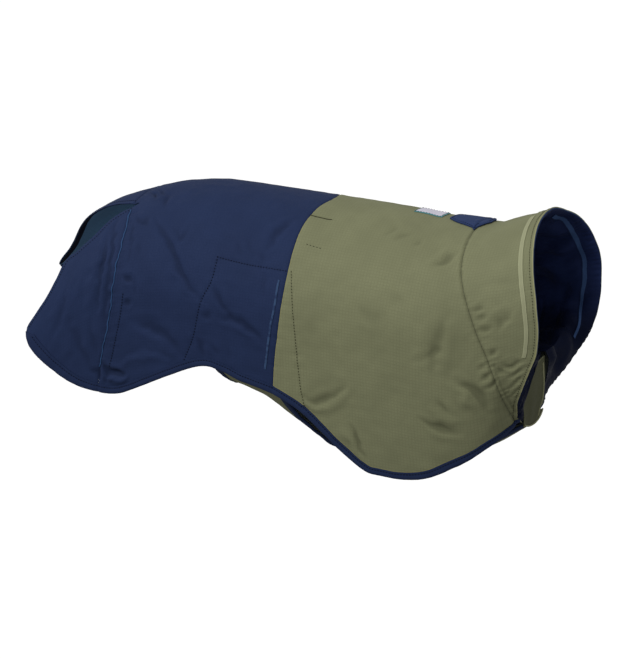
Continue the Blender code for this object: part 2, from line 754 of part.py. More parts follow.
def label():
    """The blank label sewn on the back line."""
    x = np.linspace(LABEL_FROM.x, LABEL_TO.x, 5)
    girth = np.linspace(LABEL_FROM.girth, LABEL_TO.girth, 6)
    grid = np.stack(np.meshgrid(x, girth, indexing="ij"), axis=2)
    worn_wall("label", grid, TAPE, "off-white", LINING_GAP + TAPE)


def smooth_step(value):
    """0 below 0 and 1 above 1, with a soft rise between."""
    value = np.clip(value, 0, 1)
    return value * value * (3 - 2 * value)


def lining_inset(girth):
    """How far the lining's outer face lies inside the coat's, more where it passes the binding."""
    past_binding = (BINDING - CLOTH) / 2 + 0.0004
    return CLOTH + LINING_GAP + past_binding * smooth_step((np.abs(girth) - 0.20) / 0.05)


def throat_foot(cut, side):
    """Where the lining, the throat piece and the hem come together on one side."""
    girth = side * THROAT_FOOT_GIRTH
    return worn(np.array([[cut.neck_x(girth), girth]]), -lining_inset(girth))[0]


def lining_side(cut, side, depths):
    """Half of the lining: a row for each depth, 0 at its rear and 1 at the neck, down to the throat."""
    girths = np.linspace(0, LINING_TURNS, 1 + round(SIDE_STEPS * LINING_TURN_SHARE))
    shares = np.linspace(0, 1, 1 + SIDE_STEPS - len(girths) + 3)[1:]
    foot = throat_foot(cut, side)
    edge_girths = side * (LINING_TURNS + shares * (THROAT_FOOT_GIRTH - LINING_TURNS))
    edge = worn(np.column_stack([cut.neck_x(edge_girths), edge_girths]), -lining_inset(edge_girths))
    rows = []
    for depth in depths:
        girth = side * np.append(girths, LINING_TURNS + SLOPE_STEP)
        behind = np.interp(girth, cut.collar.points[:, 1], cut.collar.points[:, 0]) - LINING_BEHIND_SEAM
        x = behind + depth * (cut.neck_x(girth) - behind)
        upper = worn(np.column_stack([x, girth]), -lining_inset(girth))
        leaving, upper = upper[-1] - upper[-2], upper[:-1]
        leaving *= 0.115 / np.linalg.norm(leaving)
        if depth < THROAT_REACHED:
            end = NECK_FLOOR + depth / THROAT_REACHED * (THROAT_TOP - NECK_FLOOR)
            end = end + (0, side * GAP / 2, 0)
        else:
            end = THROAT_TOP + (depth - THROAT_REACHED) / (1 - THROAT_REACHED) * (foot - THROAT_TOP)
            end = end + (0, side * GAP / 2, 0)
        arriving = np.array([0, -side * 0.075, 0])
        t = shares[:, None]
        lower = (
            (2 * t**3 - 3 * t**2 + 1) * upper[-1]
            + (t**3 - 2 * t**2 + t) * leaving
            + (3 * t**2 - 2 * t**3) * end
            + (t**3 - t**2) * arriving
        )
        lower = lower + depth**5 * (edge - lower)
        rows.append(np.vstack([upper, lower]))
    return np.array(rows)


def collar_lining(cut):
    """The navy inside of the collar, turned in below to the throat piece."""
    right, left = (lining_side(cut, side, np.linspace(0, 1, LINING_STEPS + 1)) for side in (RIGHT, LEFT))
    wall("collar_lining", np.concatenate([right[:, :0:-1], left], axis=1), LINING, "dark navy")


def lining_tape(cut, side):
    """The blue tape on the lining's inner face, one side's."""
    strip = lining_side(cut, side, (LINING_TAPE_FROM, LINING_TAPE_TO))[:, LINING_TAPE_COLUMNS]
    strip = strip[:, ::side]
    outwards = np.cross(strip[1] - strip[0], np.gradient(strip[0], axis=0))
    outwards /= np.linalg.norm(outwards, axis=1)[:, None]
    wall(f"lining_tape_{SIDE_NAMES[side]}", strip - (LINING + LINING_GAP) * outwards, TAPE, "blue")


def throat_gusset(cut):
    """The olive three-cornered piece that closes the throat between the collar's two ends."""
    foot_x = max(BELLY_FRONT, throat_foot(cut, RIGHT)[0], throat_foot(cut, LEFT)[0])
    foot_y = throat_foot(cut, LEFT)[1] - 2 * GAP
    share = np.linspace(-1, 1, GUSSET_STEPS + 1)
    front = on_belly(np.column_stack([np.full(len(share), BELLY_FRONT), share * BELLY_EDGE[-1].girth]))
    rows = []
    for height in np.linspace(0, 1, GUSSET_STEPS + 2):
        half = GUSSET_TIP + (foot_y - GUSSET_TIP) * (1 - height)
        level = front[:, 2] + height * (THROAT_TOP[2] - front[:, 2])
        ahead = foot_x + height * (THROAT_TOP[0] - foot_x) + LINING_GAP + CLOTH
        bulge = GUSSET_BULGE * math.sin(math.pi * height) * (1 - share**2)
        rows.append(np.column_stack([ahead + bulge, share * half, level]))
    wall("throat_gusset", np.array(rows).transpose(1, 0, 2), CLOTH, "olive")


def belly_pieces():
    """The olive belly panel and the navy tape round its rear edge and its leg edges."""
    edge = {side: side_line(BELLY_EDGE, side) for side in (RIGHT, LEFT)}
    inner = {side: line.shifted(-side * (BINDING_WIDTH + GAP)) for side, line in edge.items()}
    rear = BELLY_REAR + BINDING_WIDTH + GAP
    starts = {side: float(np.interp(rear, line.points[:, 0], line.marks)) for side, line in inner.items()}
    sides = []
    for side, line in inner.items():
        sides.append(line.at(np.linspace(starts[side], line.marks[-1], BELLY_STEPS + 1)))
    for line in sides:
        line[0, 0], line[-1, 0] = rear, BELLY_FRONT
    across = np.linspace(0, 1, BELLY_ACROSS + 1)[:, None]
    across = across - EDGE_CLOSENESS * np.sin(2 * math.pi * across) / (2 * math.pi)
    first, last = (sides[0][k] + across * (sides[1][k] - sides[0][k]) for k in (0, -1))
    belly_wall("belly_panel", patch(first, last, *sides), CLOTH, "olive")

    out = (BINDING - CLOTH) / 2
    for side in (RIGHT, LEFT):
        marks = np.linspace(starts[side], edge[side].marks[-1], BELLY_STEPS + 1)
        lines = [edge[side].beside(marks, -side * BINDING_WIDTH * share) for share in (0, 0.5, 1)]
        for line in lines:
            line[0, 0], line[-1, 0] = rear, BELLY_FRONT
        lines = lines if side == RIGHT else lines[::-1]
        belly_wall(f"belly_binding_{SIDE_NAMES[side]}", np.stack(lines, axis=1), BINDING, "dark navy", out)
    girth = np.linspace(-1, 1, BELLY_ACROSS + 1) * BELLY_EDGE[0].girth
    lines = [np.column_stack([np.full(len(girth), x), girth]) for x in (BELLY_REAR, rear - GAP)]
    belly_wall("belly_binding_rear", np.stack(lines, axis=0), BINDING, "dark navy", out)


def main():
    """Clear the scene and build every piece."""
    for thing in list(bpy.data.objects):
        bpy.data.objects.remove(thing)
    cut = Cut()
    hem_marks = {RIGHT: [], LEFT: []}
    behind_middle, ahead_of_middle = cut.seam(cut.behind_middle), cut.seam(cut.ahead_of_middle)
    behind_collar, ahead_of_collar = cut.seam(cut.behind_collar), cut.seam(cut.ahead_of_collar)
    band(cut, "back_panel", "navy", (cut.rear, cut.rear_feet), behind_middle, BACK_STEPS, hem_marks)
    band(cut, "shoulder_panel", "olive", ahead_of_middle, behind_collar, SHOULDER_STEPS, hem_marks)
    band(cut, "collar", "olive", ahead_of_collar, cut.seam(cut.neck), COLLAR_STEPS, hem_marks)
    for side in (RIGHT, LEFT):
        rear_flap(cut, side, hem_marks)
        hem_edges(cut, side, hem_marks)
        tapes(cut, side)
        lining_tape(cut, side)
    collar_lining(cut)
    throat_gusset(cut)
    belly_pieces()
    leash_tab()
    label()


main()
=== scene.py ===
"""Dog raincoat in its worn shape: cloth, tapes, stitching and a plain studio.

Metres, +Z up, +X towards the neck, +Y the dog's left. The origin is on the back line over the
withers. Cloth is laid out in pattern coordinates, (x, girth): x runs along the back, and girth is
the distance from the back line round the coat, below 0 on the dog's right. The same coordinates
are each cloth's UV map, in metres.
"""

import logging
import math
from collections.abc import Callable, Iterable, Sequence
from dataclasses import dataclass, field
from enum import Enum
from functools import cached_property
from typing import NamedTuple

import bpy
import numpy as np
from mathutils import Matrix, Vector


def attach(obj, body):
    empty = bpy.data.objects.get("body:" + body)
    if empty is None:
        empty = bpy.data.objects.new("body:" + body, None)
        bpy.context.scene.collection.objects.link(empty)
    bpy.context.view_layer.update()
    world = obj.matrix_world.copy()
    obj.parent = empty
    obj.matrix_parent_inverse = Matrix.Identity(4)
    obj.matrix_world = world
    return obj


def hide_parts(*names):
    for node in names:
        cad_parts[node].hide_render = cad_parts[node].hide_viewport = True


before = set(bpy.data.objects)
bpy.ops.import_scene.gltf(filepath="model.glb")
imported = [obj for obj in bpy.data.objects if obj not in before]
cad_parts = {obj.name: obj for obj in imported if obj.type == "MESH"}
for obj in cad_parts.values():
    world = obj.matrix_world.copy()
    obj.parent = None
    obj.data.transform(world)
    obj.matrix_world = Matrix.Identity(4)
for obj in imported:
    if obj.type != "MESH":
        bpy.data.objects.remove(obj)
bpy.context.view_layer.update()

Array = np.ndarray
Socket = bpy.types.NodeSocket
Colour = tuple[float, float, float]

SEED = 7
CLOTH = 0.0012
LINING = 0.001
BINDING_WIDTH = 0.0085
BINDING_TAPER = 0.02
BINDING_CUT = 2.15 * BINDING_WIDTH
CLOTH_INSET = 0.3 * BINDING_WIDTH
SEAM_GAP = 0.0002


class Side(Enum):
    """A side of the coat, as the sign of its girths."""

    RIGHT = -1
    LEFT = 1

    @property
    def label(self) -> str:
        """The side's word in piece names."""
        return self.name.lower()


class Held(Enum):
    """How a sheet of cloth is held in the worn coat."""

    DRAPED = "draped"
    GATHERED = "gathered"
    FOLDED = "folded"
    STRETCHED = "stretched"


class Station(NamedTuple):
    """One cross-section of the worn form: its top, its widest level and where it would close below."""

    x: float
    top: float
    half_width: float
    widest: float
    floor: float


class BellyRow(NamedTuple):
    """One cross-section of the belly panel: its lowest line, and the height where its sides stand up."""

    x: float
    bottom: float
    side: float


FORM = (
    Station(-0.43, -0.136, 0.07, -0.2, -0.36),
    Station(-0.395, -0.103, 0.084, -0.18, -0.37),
    Station(-0.365, -0.0705, 0.094, -0.155, -0.38),
    Station(-0.336, -0.0395, 0.097, -0.13, -0.38),
    Station(-0.305, -0.0205, 0.099, -0.108, -0.38),
    Station(-0.27, -0.0075, 0.101, -0.098, -0.37),
    Station(-0.235, 0.002, 0.103, -0.097, -0.37),
    Station(-0.19, 0.0064, 0.105, -0.098, -0.37),
    Station(-0.12, 0.003, 0.107, -0.102, -0.37),
    Station(-0.05, -0.0015, 0.109, -0.106, -0.37),
    Station(0.01, -0.006, 0.109, -0.108, -0.37),
    Station(0.06, -0.011, 0.105, -0.106, -0.35),
    Station(0.095, -0.012, 0.098, -0.1, -0.315),
    Station(0.12, -0.004, 0.093, -0.092, -0.262),
    Station(0.14, 0.002, 0.09, -0.084, -0.2075),
    Station(0.16, 0.011, 0.089, -0.077, -0.203),
    Station(0.195, 0.02, 0.088, -0.074, -0.195),
)
BELLY = (
    BellyRow(-0.165, -0.19, -0.126),
    BellyRow(-0.12, -0.207, -0.13),
    BellyRow(-0.08, -0.233, -0.145),
    BellyRow(-0.05, -0.25, -0.16),
    BellyRow(0.0, -0.264, -0.172),
    BellyRow(0.05, -0.264, -0.178),
    BellyRow(0.1, -0.234, -0.166),
    BellyRow(0.125, -0.218, -0.15),
    BellyRow(0.1385, -0.2085, -0.138),
)



def tenths(*numbers: int) -> tuple[tuple[float, float], ...]:
    """Pattern points from their x and girth by turns, in tenths of a millimetre."""
    metres = [number / 10000 for number in numbers]
    return tuple(zip(metres[::2], metres[1::2]))


# Lines of the cut. The hem runs from the notch over the tail to the chest.
TAIL_NOTCH = (-0.264, -0.0415)
HEM_RIGHT = tenths(
    -2712, -471, -2861, -566, -3010, -761, -3148, -853, -3285, -875, -3365, -1040, -3460, -1150,
    -3570, -1190, -3668, -1235, -3661, -1383, -3580, -1587, -3414, -1908, -3198, -2210, -2980, -2394,
    -2726, -2507, -2480, -2495, -2079, -2368, -1715, -2235, -1504, -2252, -1291, -2323, -983, -2396,
    -742, -2500, -579, -2611, -293, -2874, -29, -3076, 134, -3106, 378, -3098, 637, -3021, 985, -2800,
    1260, -2690, 1500, -2690,
)  # fmt: skip
HEM_LEFT = tenths(
    -2754, -373, -2960, -280, -3150, -190, -3320, -110, -3475, -10, -3610, 125, -3735, 245, -3840, 275,
    -3905, 330, -3915, 500, -3840, 850, -3660, 1250, -3370, 1650, -3000, 2000, -2620, 2220, -2240, 2305,
    -1720, 2235, -1400, 2290, -980, 2396, -580, 2611, -290, 2880, 0, 3080, 380, 3120, 730, 3010,
    1070, 2790, 1260, 2710, 1500, 2690,
)  # fmt: skip
REAR_CORNER = {Side.RIGHT: (-0.3668, -0.1235), Side.LEFT: (-0.3905, 0.033)}
MIDDLE_SEAM = tenths(-712, 0, -765, 310, -812, 700, -820, 1200, -870, 1720, -915, 2050, -955, 2500)
COLLAR_SEAM = tenths(
    830, 0, 840, 450, 881, 800, 949, 1010, 1041, 1240, 1136, 1510, 1231, 1780, 1300, 2070, 1345, 2350,
    1362, 2580, 1364, 2850,
)  # fmt: skip
NECK_EDGE_RIGHT = tenths(
    1505, 0, 1523, 360, 1560, 650, 1620, 950, 1690, 1300, 1712, 1550, 1690, 1770, 1605, 1970, 1505, 2170,
    1425, 2350, 1390, 2580, 1385, 2850,
)  # fmt: skip
NECK_EDGE_LEFT = tenths(
    1505, 0, 1530, 360, 1635, 670, 1720, 950, 1782, 1300, 1785, 1550, 1765, 1770, 1700, 1990, 1570, 2200,
    1430, 2390, 1368, 2550, 1368, 2850,
)  # fmt: skip
FLAP_SEAM_START = {Side.RIGHT: (-0.2717, -0.043), Side.LEFT: (-0.2712, -0.043)}
FLAP_SEAM = tenths(
    -2665, 720, -2645, 950, -2658, 1240, -2690, 1570, -2745, 1830, -2830, 2130, -2900, 2520,
)  # fmt: skip
REAR_STITCHING = tenths(-2550, 1490, -2590, 1720, -2670, 2010, -2730, 2200)
PATCH_TOP = tenths(-1570, 1110, -1250, 1140, -1060, 1145, -840, 1150)
PATCH_REAR = tenths(-1570, 1110, -1600, 1350, -1700, 1580, -1780, 1920, -1890, 2180)
PATCH_FRONT = tenths(-780, 1150, -730, 1420, -690, 1760, -660, 2100, -640, 2320, -610, 2470)
SHOULDER_DART = tenths(-790, 450, -550, 480)
SIDE_TACK = tenths(-690, 840, -550, 860)
SIDE_TAPE = tenths(-892, 1248, -909, 1504, -947, 1707, -1002, 2071, -1015, 2156)
GIRTH_STRAP = tenths(-1370, 1600, -1370, 1800, -1370, 2000, -1370, 2110)
BELLY_EDGE = tenths(
    -1650, 1220, -1400, 1240, -1150, 1220, -910, 1090, -745, 830, -570, 580, -380, 450, 0, 410, 500, 400,
    1000, 370, 1385, 305,
)  # fmt: skip
LEASH_TAB = tenths(
    515, -35, 570, -80, 650, -125, 740, -160, 790, -190, 830, -228, 855, -170, 885, -95, 925, 30,
)  # fmt: skip
LEASH_TAB_MIDDLE = 0.01


class Crease(NamedTuple):
    """A soft fold along a line of the pattern. Its depth is below 0 for a trough."""

    line: Array
    width: float
    depth: float

    @classmethod
    def read(cls, row: Sequence[int]) -> "Crease":
        """A fold from a row of the tables below."""
        width, depth, *places = row
        return cls(np.array(places).reshape(-1, 2) / 1000, width / 100000, depth / 100000)


# Folds on the navy rear half: width and depth in hundredths of a millimetre, then the line's x and
# girth by turns in millimetres, the girth without its sign.
REAR_CREASES = (
    (300, -110, -236, 70, -222, 86, -207, 105, -196, 123, -184, 141, -171, 153),
    (400, 50, -220, 82, -204, 101, -192, 120, -179, 137),
    (300, -50, -220, 79, -203, 93, -196, 87, -194, 77),
    (350, 45, -190, 75, -172, 83, -149, 98, -136, 107),
    (260, -35, -141, 91, -132, 104),
    (260, -35, -132, 86, -121, 103),
    (360, -75, -91, 52, -99, 64, -106, 79, -107, 95),
    (240, -40, -115, 98, -108, 109),
    (240, -40, -109, 115, -104, 129, -103, 142),
    (280, -80, -159, 137, -149, 152, -137, 168),
    (320, -80, -151, 168, -134, 168, -117, 175, -101, 188),
    (400, 40, -147, 174, -127, 177, -110, 189),
    (300, -70, -170, 166, -157, 171),
    (280, -70, -176, 191, -170, 200, -169, 213),
    (260, -45, -158, 195, -152, 209),
    (260, -35, -143, 198, -138, 212),
    (500, -80, -247, 175, -227, 181, -206, 196, -191, 210),
    (500, 60, -241, 188, -219, 195, -202, 209),
    (400, 80, -260, 222, -249, 216, -228, 214, -209, 218),
    (260, -160, -281, 215, -275, 224, -266, 228, -256, 231),
    (300, 120, -276, 232, -264, 236, -254, 234),
    (200, -70, -276, 226, -279, 237),
    (240, -100, -256, 129, -245, 138),
    (240, -80, -256, 159, -246, 156),
    (220, -40, -243, 134, -242, 153),
    (220, -45, -259, 68, -253, 102, -254, 125),
    (240, -40, -245, 93, -242, 115),
    (240, -80, -259, 61, -244, 79),
    (240, -70, -249, 62, -241, 80),
    (220, -90, -263, 16, -244, 42),
    (220, -80, -257, 14, -237, 34),
    (300, -80, -237, 32, -231, 55),
    (600, 40, -192, 69, -145, 70, -113, 69),
    (240, -70, -282, 54, -276, 89, -272, 114),
    (280, -90, -284, 67, -283, 114, -285, 158),
    (500, 70, -290, 71, -290, 115, -295, 158),
    (260, -80, -275, 81, -272, 129, -276, 160, -280, 191),
    (280, -50, -279, 97, -287, 125),
    (400, -50, -318, 115, -326, 141, -337, 162),
    (300, -35, -310, 118, -316, 138),
    (360, -55, -319, 152, -310, 178, -298, 207, -287, 228),
    (320, -50, -294, 165, -290, 189, -287, 209),
    (260, -50, -297, 217, -283, 229),
    (600, 50, -299, 82, -306, 117, -320, 135),
)
# Folds on the olive front half and the collar.
FRONT_CREASES = (
    (360, -130, 94, 188, 107, 200, 114, 213, 120, 229),
    (400, 100, 89, 196, 100, 206, 108, 223),
    (260, -60, 104, 183, 118, 207, 124, 222),
    (360, -120, 57, 236, 75, 243, 92, 245),
    (360, 90, 68, 225, 81, 232, 94, 234),
    (300, -60, 74, 213, 82, 225),
    (260, -100, -14, 257, -8, 273, 0, 295),
    (340, 60, -21, 266, -11, 280, -4, 294),
    (340, -90, -62, 235, -53, 240, -33, 233, -17, 219),
    (400, 60, -62, 243, -44, 245, -23, 231, -10, 216),
    (240, -70, -63, 247, -55, 250),
    (600, -70, 82, 126, 78, 146, 70, 171, 68, 192),
    (600, 60, 88, 132, 85, 154, 78, 180),
    (400, -40, 91, 147, 89, 167),
    (300, -80, 59, 82, 71, 72, 79, 58),
    (300, 50, 54, 76, 65, 66, 71, 53),
    (300, -50, 14, 59, 27, 44),
    (300, -40, 3, 56, 11, 38),
    (300, -45, 34, 64, 41, 49),
    (500, -40, -9, 132, 6, 141, 23, 148),
    (500, -35, 25, 116, 41, 127),
    (300, -40, 49, 181, 69, 168, 84, 153),
    (240, -70, 107, 121, 118, 120),
    (240, -60, 110, 131, 122, 130),
    (240, -60, 114, 142, 125, 141),
    (400, -80, 132, 145, 135, 132, 145, 127),
    (300, -50, 139, 138, 144, 132),
    (260, -90, 124, 169, 130, 162),
    (260, -90, 133, 180, 153, 184),
    (240, -80, 128, 181, 137, 190),
    (220, -70, 113, 182, 122, 176),
    (220, -100, 115, 193, 125, 186),
    (220, -90, 118, 203, 130, 196),
    (200, -60, 161, 190, 139, 197),
    (200, -60, 155, 198, 138, 209),
    (200, -50, 149, 210, 138, 220),
    (300, 40, 108, 48, 112, 74),
    (500, -30, 100, 95, 129, 93, 151, 101),
)


# ---- curves and the worn form ----


def rising_curve(knots: Sequence[float], values: Sequence[float], at: Array) -> Array:
    """Monotone cubic through the rows of a table, so that no stretch overshoots its rows.

    Args:
        knots: The rising places of the rows.
        values: The value of each row.
        at: The places to read.

    Returns:
        One value for each place.
    """
    knots, values = np.asarray(knots, float), np.asarray(values, float)
    at = np.clip(np.asarray(at, float), knots[0], knots[-1])
    span = np.diff(knots)
    slope = np.diff(values) / span
    turns = slope[:-1] * slope[1:] > 0
    before, after = 2 * span[1:] + span[:-1], span[1:] + 2 * span[:-1]
    inner = np.zeros(len(slope) - 1)
    weights = before[turns] / slope[:-1][turns] + after[turns] / slope[1:][turns]
    inner[turns] = (before + after)[turns] / weights
    tangent = np.concatenate([[slope[0]], inner, [slope[-1]]])
    row = np.clip(np.searchsorted(knots, at) - 1, 0, len(span) - 1)
    t = (at - knots[row]) / span[row]
    return (
        (2 * t**3 - 3 * t**2 + 1) * values[row]
        + (t**3 - 2 * t**2 + t) * span[row] * tangent[row]
        + (3 * t**2 - 2 * t**3) * values[row + 1]
        + (t**3 - t**2) * span[row] * tangent[row + 1]
    )


def column(rows: Sequence[NamedTuple], name: str, at: Array) -> Array:
    """One column of a table of stations, read at these x."""
    return rising_curve([row.x for row in rows], [getattr(row, name) for row in rows], at)


def spline(rows: Sequence[Sequence[float]], samples: int = 16) -> Array:
    """A smooth line through pattern points.

    Args:
        rows: The points to pass through.
        samples: How many points each stretch gets.

    Returns:
        Closely spaced points along the line.
    """
    knots = np.array(rows, float)
    knots = np.vstack([2 * knots[0] - knots[1], knots, 2 * knots[-1] - knots[-2]])
    t = np.linspace(0, 1, samples, endpoint=False)[:, None]
    runs = [
        0.5 * (2 * b + (c - a) * t + (2 * a - 5 * b + 4 * c - d) * t**2 + (3 * b - a - 3 * c + d) * t**3)
        for a, b, c, d in zip(knots, knots[1:], knots[2:], knots[3:])
    ]
    return np.vstack([*runs, knots[-2][None]])


def lengths_along(points: Array) -> Array:
    """The distance from the first point to each point of a line."""
    steps = np.linalg.norm(np.diff(points, axis=0), axis=1)
    return np.concatenate([[0], np.cumsum(steps)])


def smooth_step(value: Array) -> Array:
    """0 below 0 and 1 above 1, with a soft rise between."""
    value = np.clip(value, 0, 1)
    return value * value * (3 - 2 * value)


def nearest(points: Array, line: Array) -> tuple[Array, Array]:
    """How far points are from a line of points.

    Args:
        points: Pattern points.
        line: The line's own points.

    Returns:
        Each point's distance, and how far along the line its nearest place is.
    """
    start, along = line[:-1], np.diff(line, axis=0)
    reach = (along**2).sum(axis=1)
    part = np.clip(((points[:, None] - start) * along).sum(axis=2) / reach, 0, 1)
    away = np.linalg.norm(points[:, None] - (start + part[..., None] * along), axis=2)
    best = away.argmin(axis=1)
    rows = np.arange(len(points))
    marks = lengths_along(line)
    return away[rows, best], marks[best] + part[rows, best] * np.sqrt(reach[best])


@dataclass
class SmoothTable:
    """A table over x and girth, read with a smooth cubic between its rows."""

    x_from: float
    x_step: float
    girth_from: float
    girth_step: float
    values: Array

    @staticmethod
    def weights(t: Array) -> Array:
        """The four cubic weights of each place between two rows."""
        return np.stack(
            [
                -0.5 * t + t**2 - 0.5 * t**3,
                1 - 2.5 * t**2 + 1.5 * t**3,
                0.5 * t + 2 * t**2 - 1.5 * t**3,
                -0.5 * t**2 + 0.5 * t**3,
            ],
            axis=-1,
        )

    def at(self, pattern: Array) -> Array:
        """The table's values at pattern points."""
        rows, columns = self.values.shape[:2]
        fx = (pattern[:, 0] - self.x_from) / self.x_step
        fg = (pattern[:, 1] - self.girth_from) / self.girth_step
        i = np.clip(np.floor(fx).astype(int), 1, rows - 3)
        j = np.clip(np.floor(fg).astype(int), 1, columns - 3)
        near = np.arange(-1, 3)
        found = self.values[(i[:, None] + near)[:, :, None], (j[:, None] + near)[:, None, :]]
        return np.einsum("na,nb,nabk->nk", self.weights(fx - i), self.weights(fg - j), found)


def section_table(x: Array, widths: Array, heights: Array, reach: float, step: float) -> SmoothTable:
    """The table of a form that is given by half cross-sections.

    Args:
        x: The place of each cross-section, evenly spaced.
        widths: Half widths along each section, a row for each x.
        heights: Heights along each section.
        reach: The largest girth that the table holds.
        step: The girth between two columns.

    Returns:
        The table of width and height over x and girth.
    """
    count = round(reach / step)
    girths = np.linspace(0, reach, count + 1)
    rows = []
    for width, height in zip(widths, heights):
        marks = np.concatenate([[0], np.cumsum(np.hypot(np.diff(width), np.diff(height)))])
        rows.append(np.column_stack([np.interp(girths, marks, width), np.interp(girths, marks, height)]))
    right = np.array(rows)[:, :0:-1] * (-1, 1)
    return SmoothTable(x[0], x[1] - x[0], -reach, step, np.concatenate([right, np.array(rows)], axis=1))


@dataclass
class SoftNoise:
    """Smooth, fixed unevenness of the cloth, made of waves in many directions."""

    longest: float
    shortest: float
    waves: int = 28
    seed: int = SEED

    @cached_property
    def parts(self) -> tuple[Array, Array]:
        """The waves' directions, and where each one starts."""
        rng = np.random.default_rng(self.seed)
        length = self.longest * (self.shortest / self.longest) ** rng.random(self.waves)
        angle = rng.random(self.waves) * 2 * math.pi
        return 2 * math.pi / length * np.stack([np.cos(angle), np.sin(angle)]), rng.random(self.waves) * 6.28

    def at(self, pattern: Array) -> Array:
        """The noise at pattern points, mostly within -1 to 1."""
        waves, starts = self.parts
        return np.sin(pattern @ waves + starts).sum(axis=1) / math.sqrt(self.waves)


@dataclass
class SeamLine:
    """A sewn line, which draws the cloth down and puckers it to both sides."""

    line: Array
    valley: float = 0.0005
    width: float = 0.0016
    pucker: float = 0.00018
    pitch: float = 0.008
    reach: float = 0.006

    def lift(self, pattern: Array) -> Array:
        """How far the seam moves the cloth at pattern points."""
        low, high = self.line.min(axis=0) - 4 * self.reach, self.line.max(axis=0) + 4 * self.reach
        inside = ((pattern > low) & (pattern < high)).all(axis=1)
        lift = np.zeros(len(pattern))
        if not inside.any():
            return lift
        away, mark = nearest(pattern[inside], self.line)
        length = lengths_along(self.line)[-1]
        ends = smooth_step(mark / 0.006) * smooth_step((length - mark) / 0.006)
        turn = 2 * math.pi * mark / self.pitch
        ripple = np.sin(turn + 1.7 * np.sin(0.37 * turn)) * (0.65 + 0.35 * np.sin(0.23 * turn + 1))
        lift[inside] = ends * (
            self.pucker * ripple * np.exp(-((away / self.reach) ** 2))
            - self.valley * np.exp(-((away / self.width) ** 2))
        )
        return lift


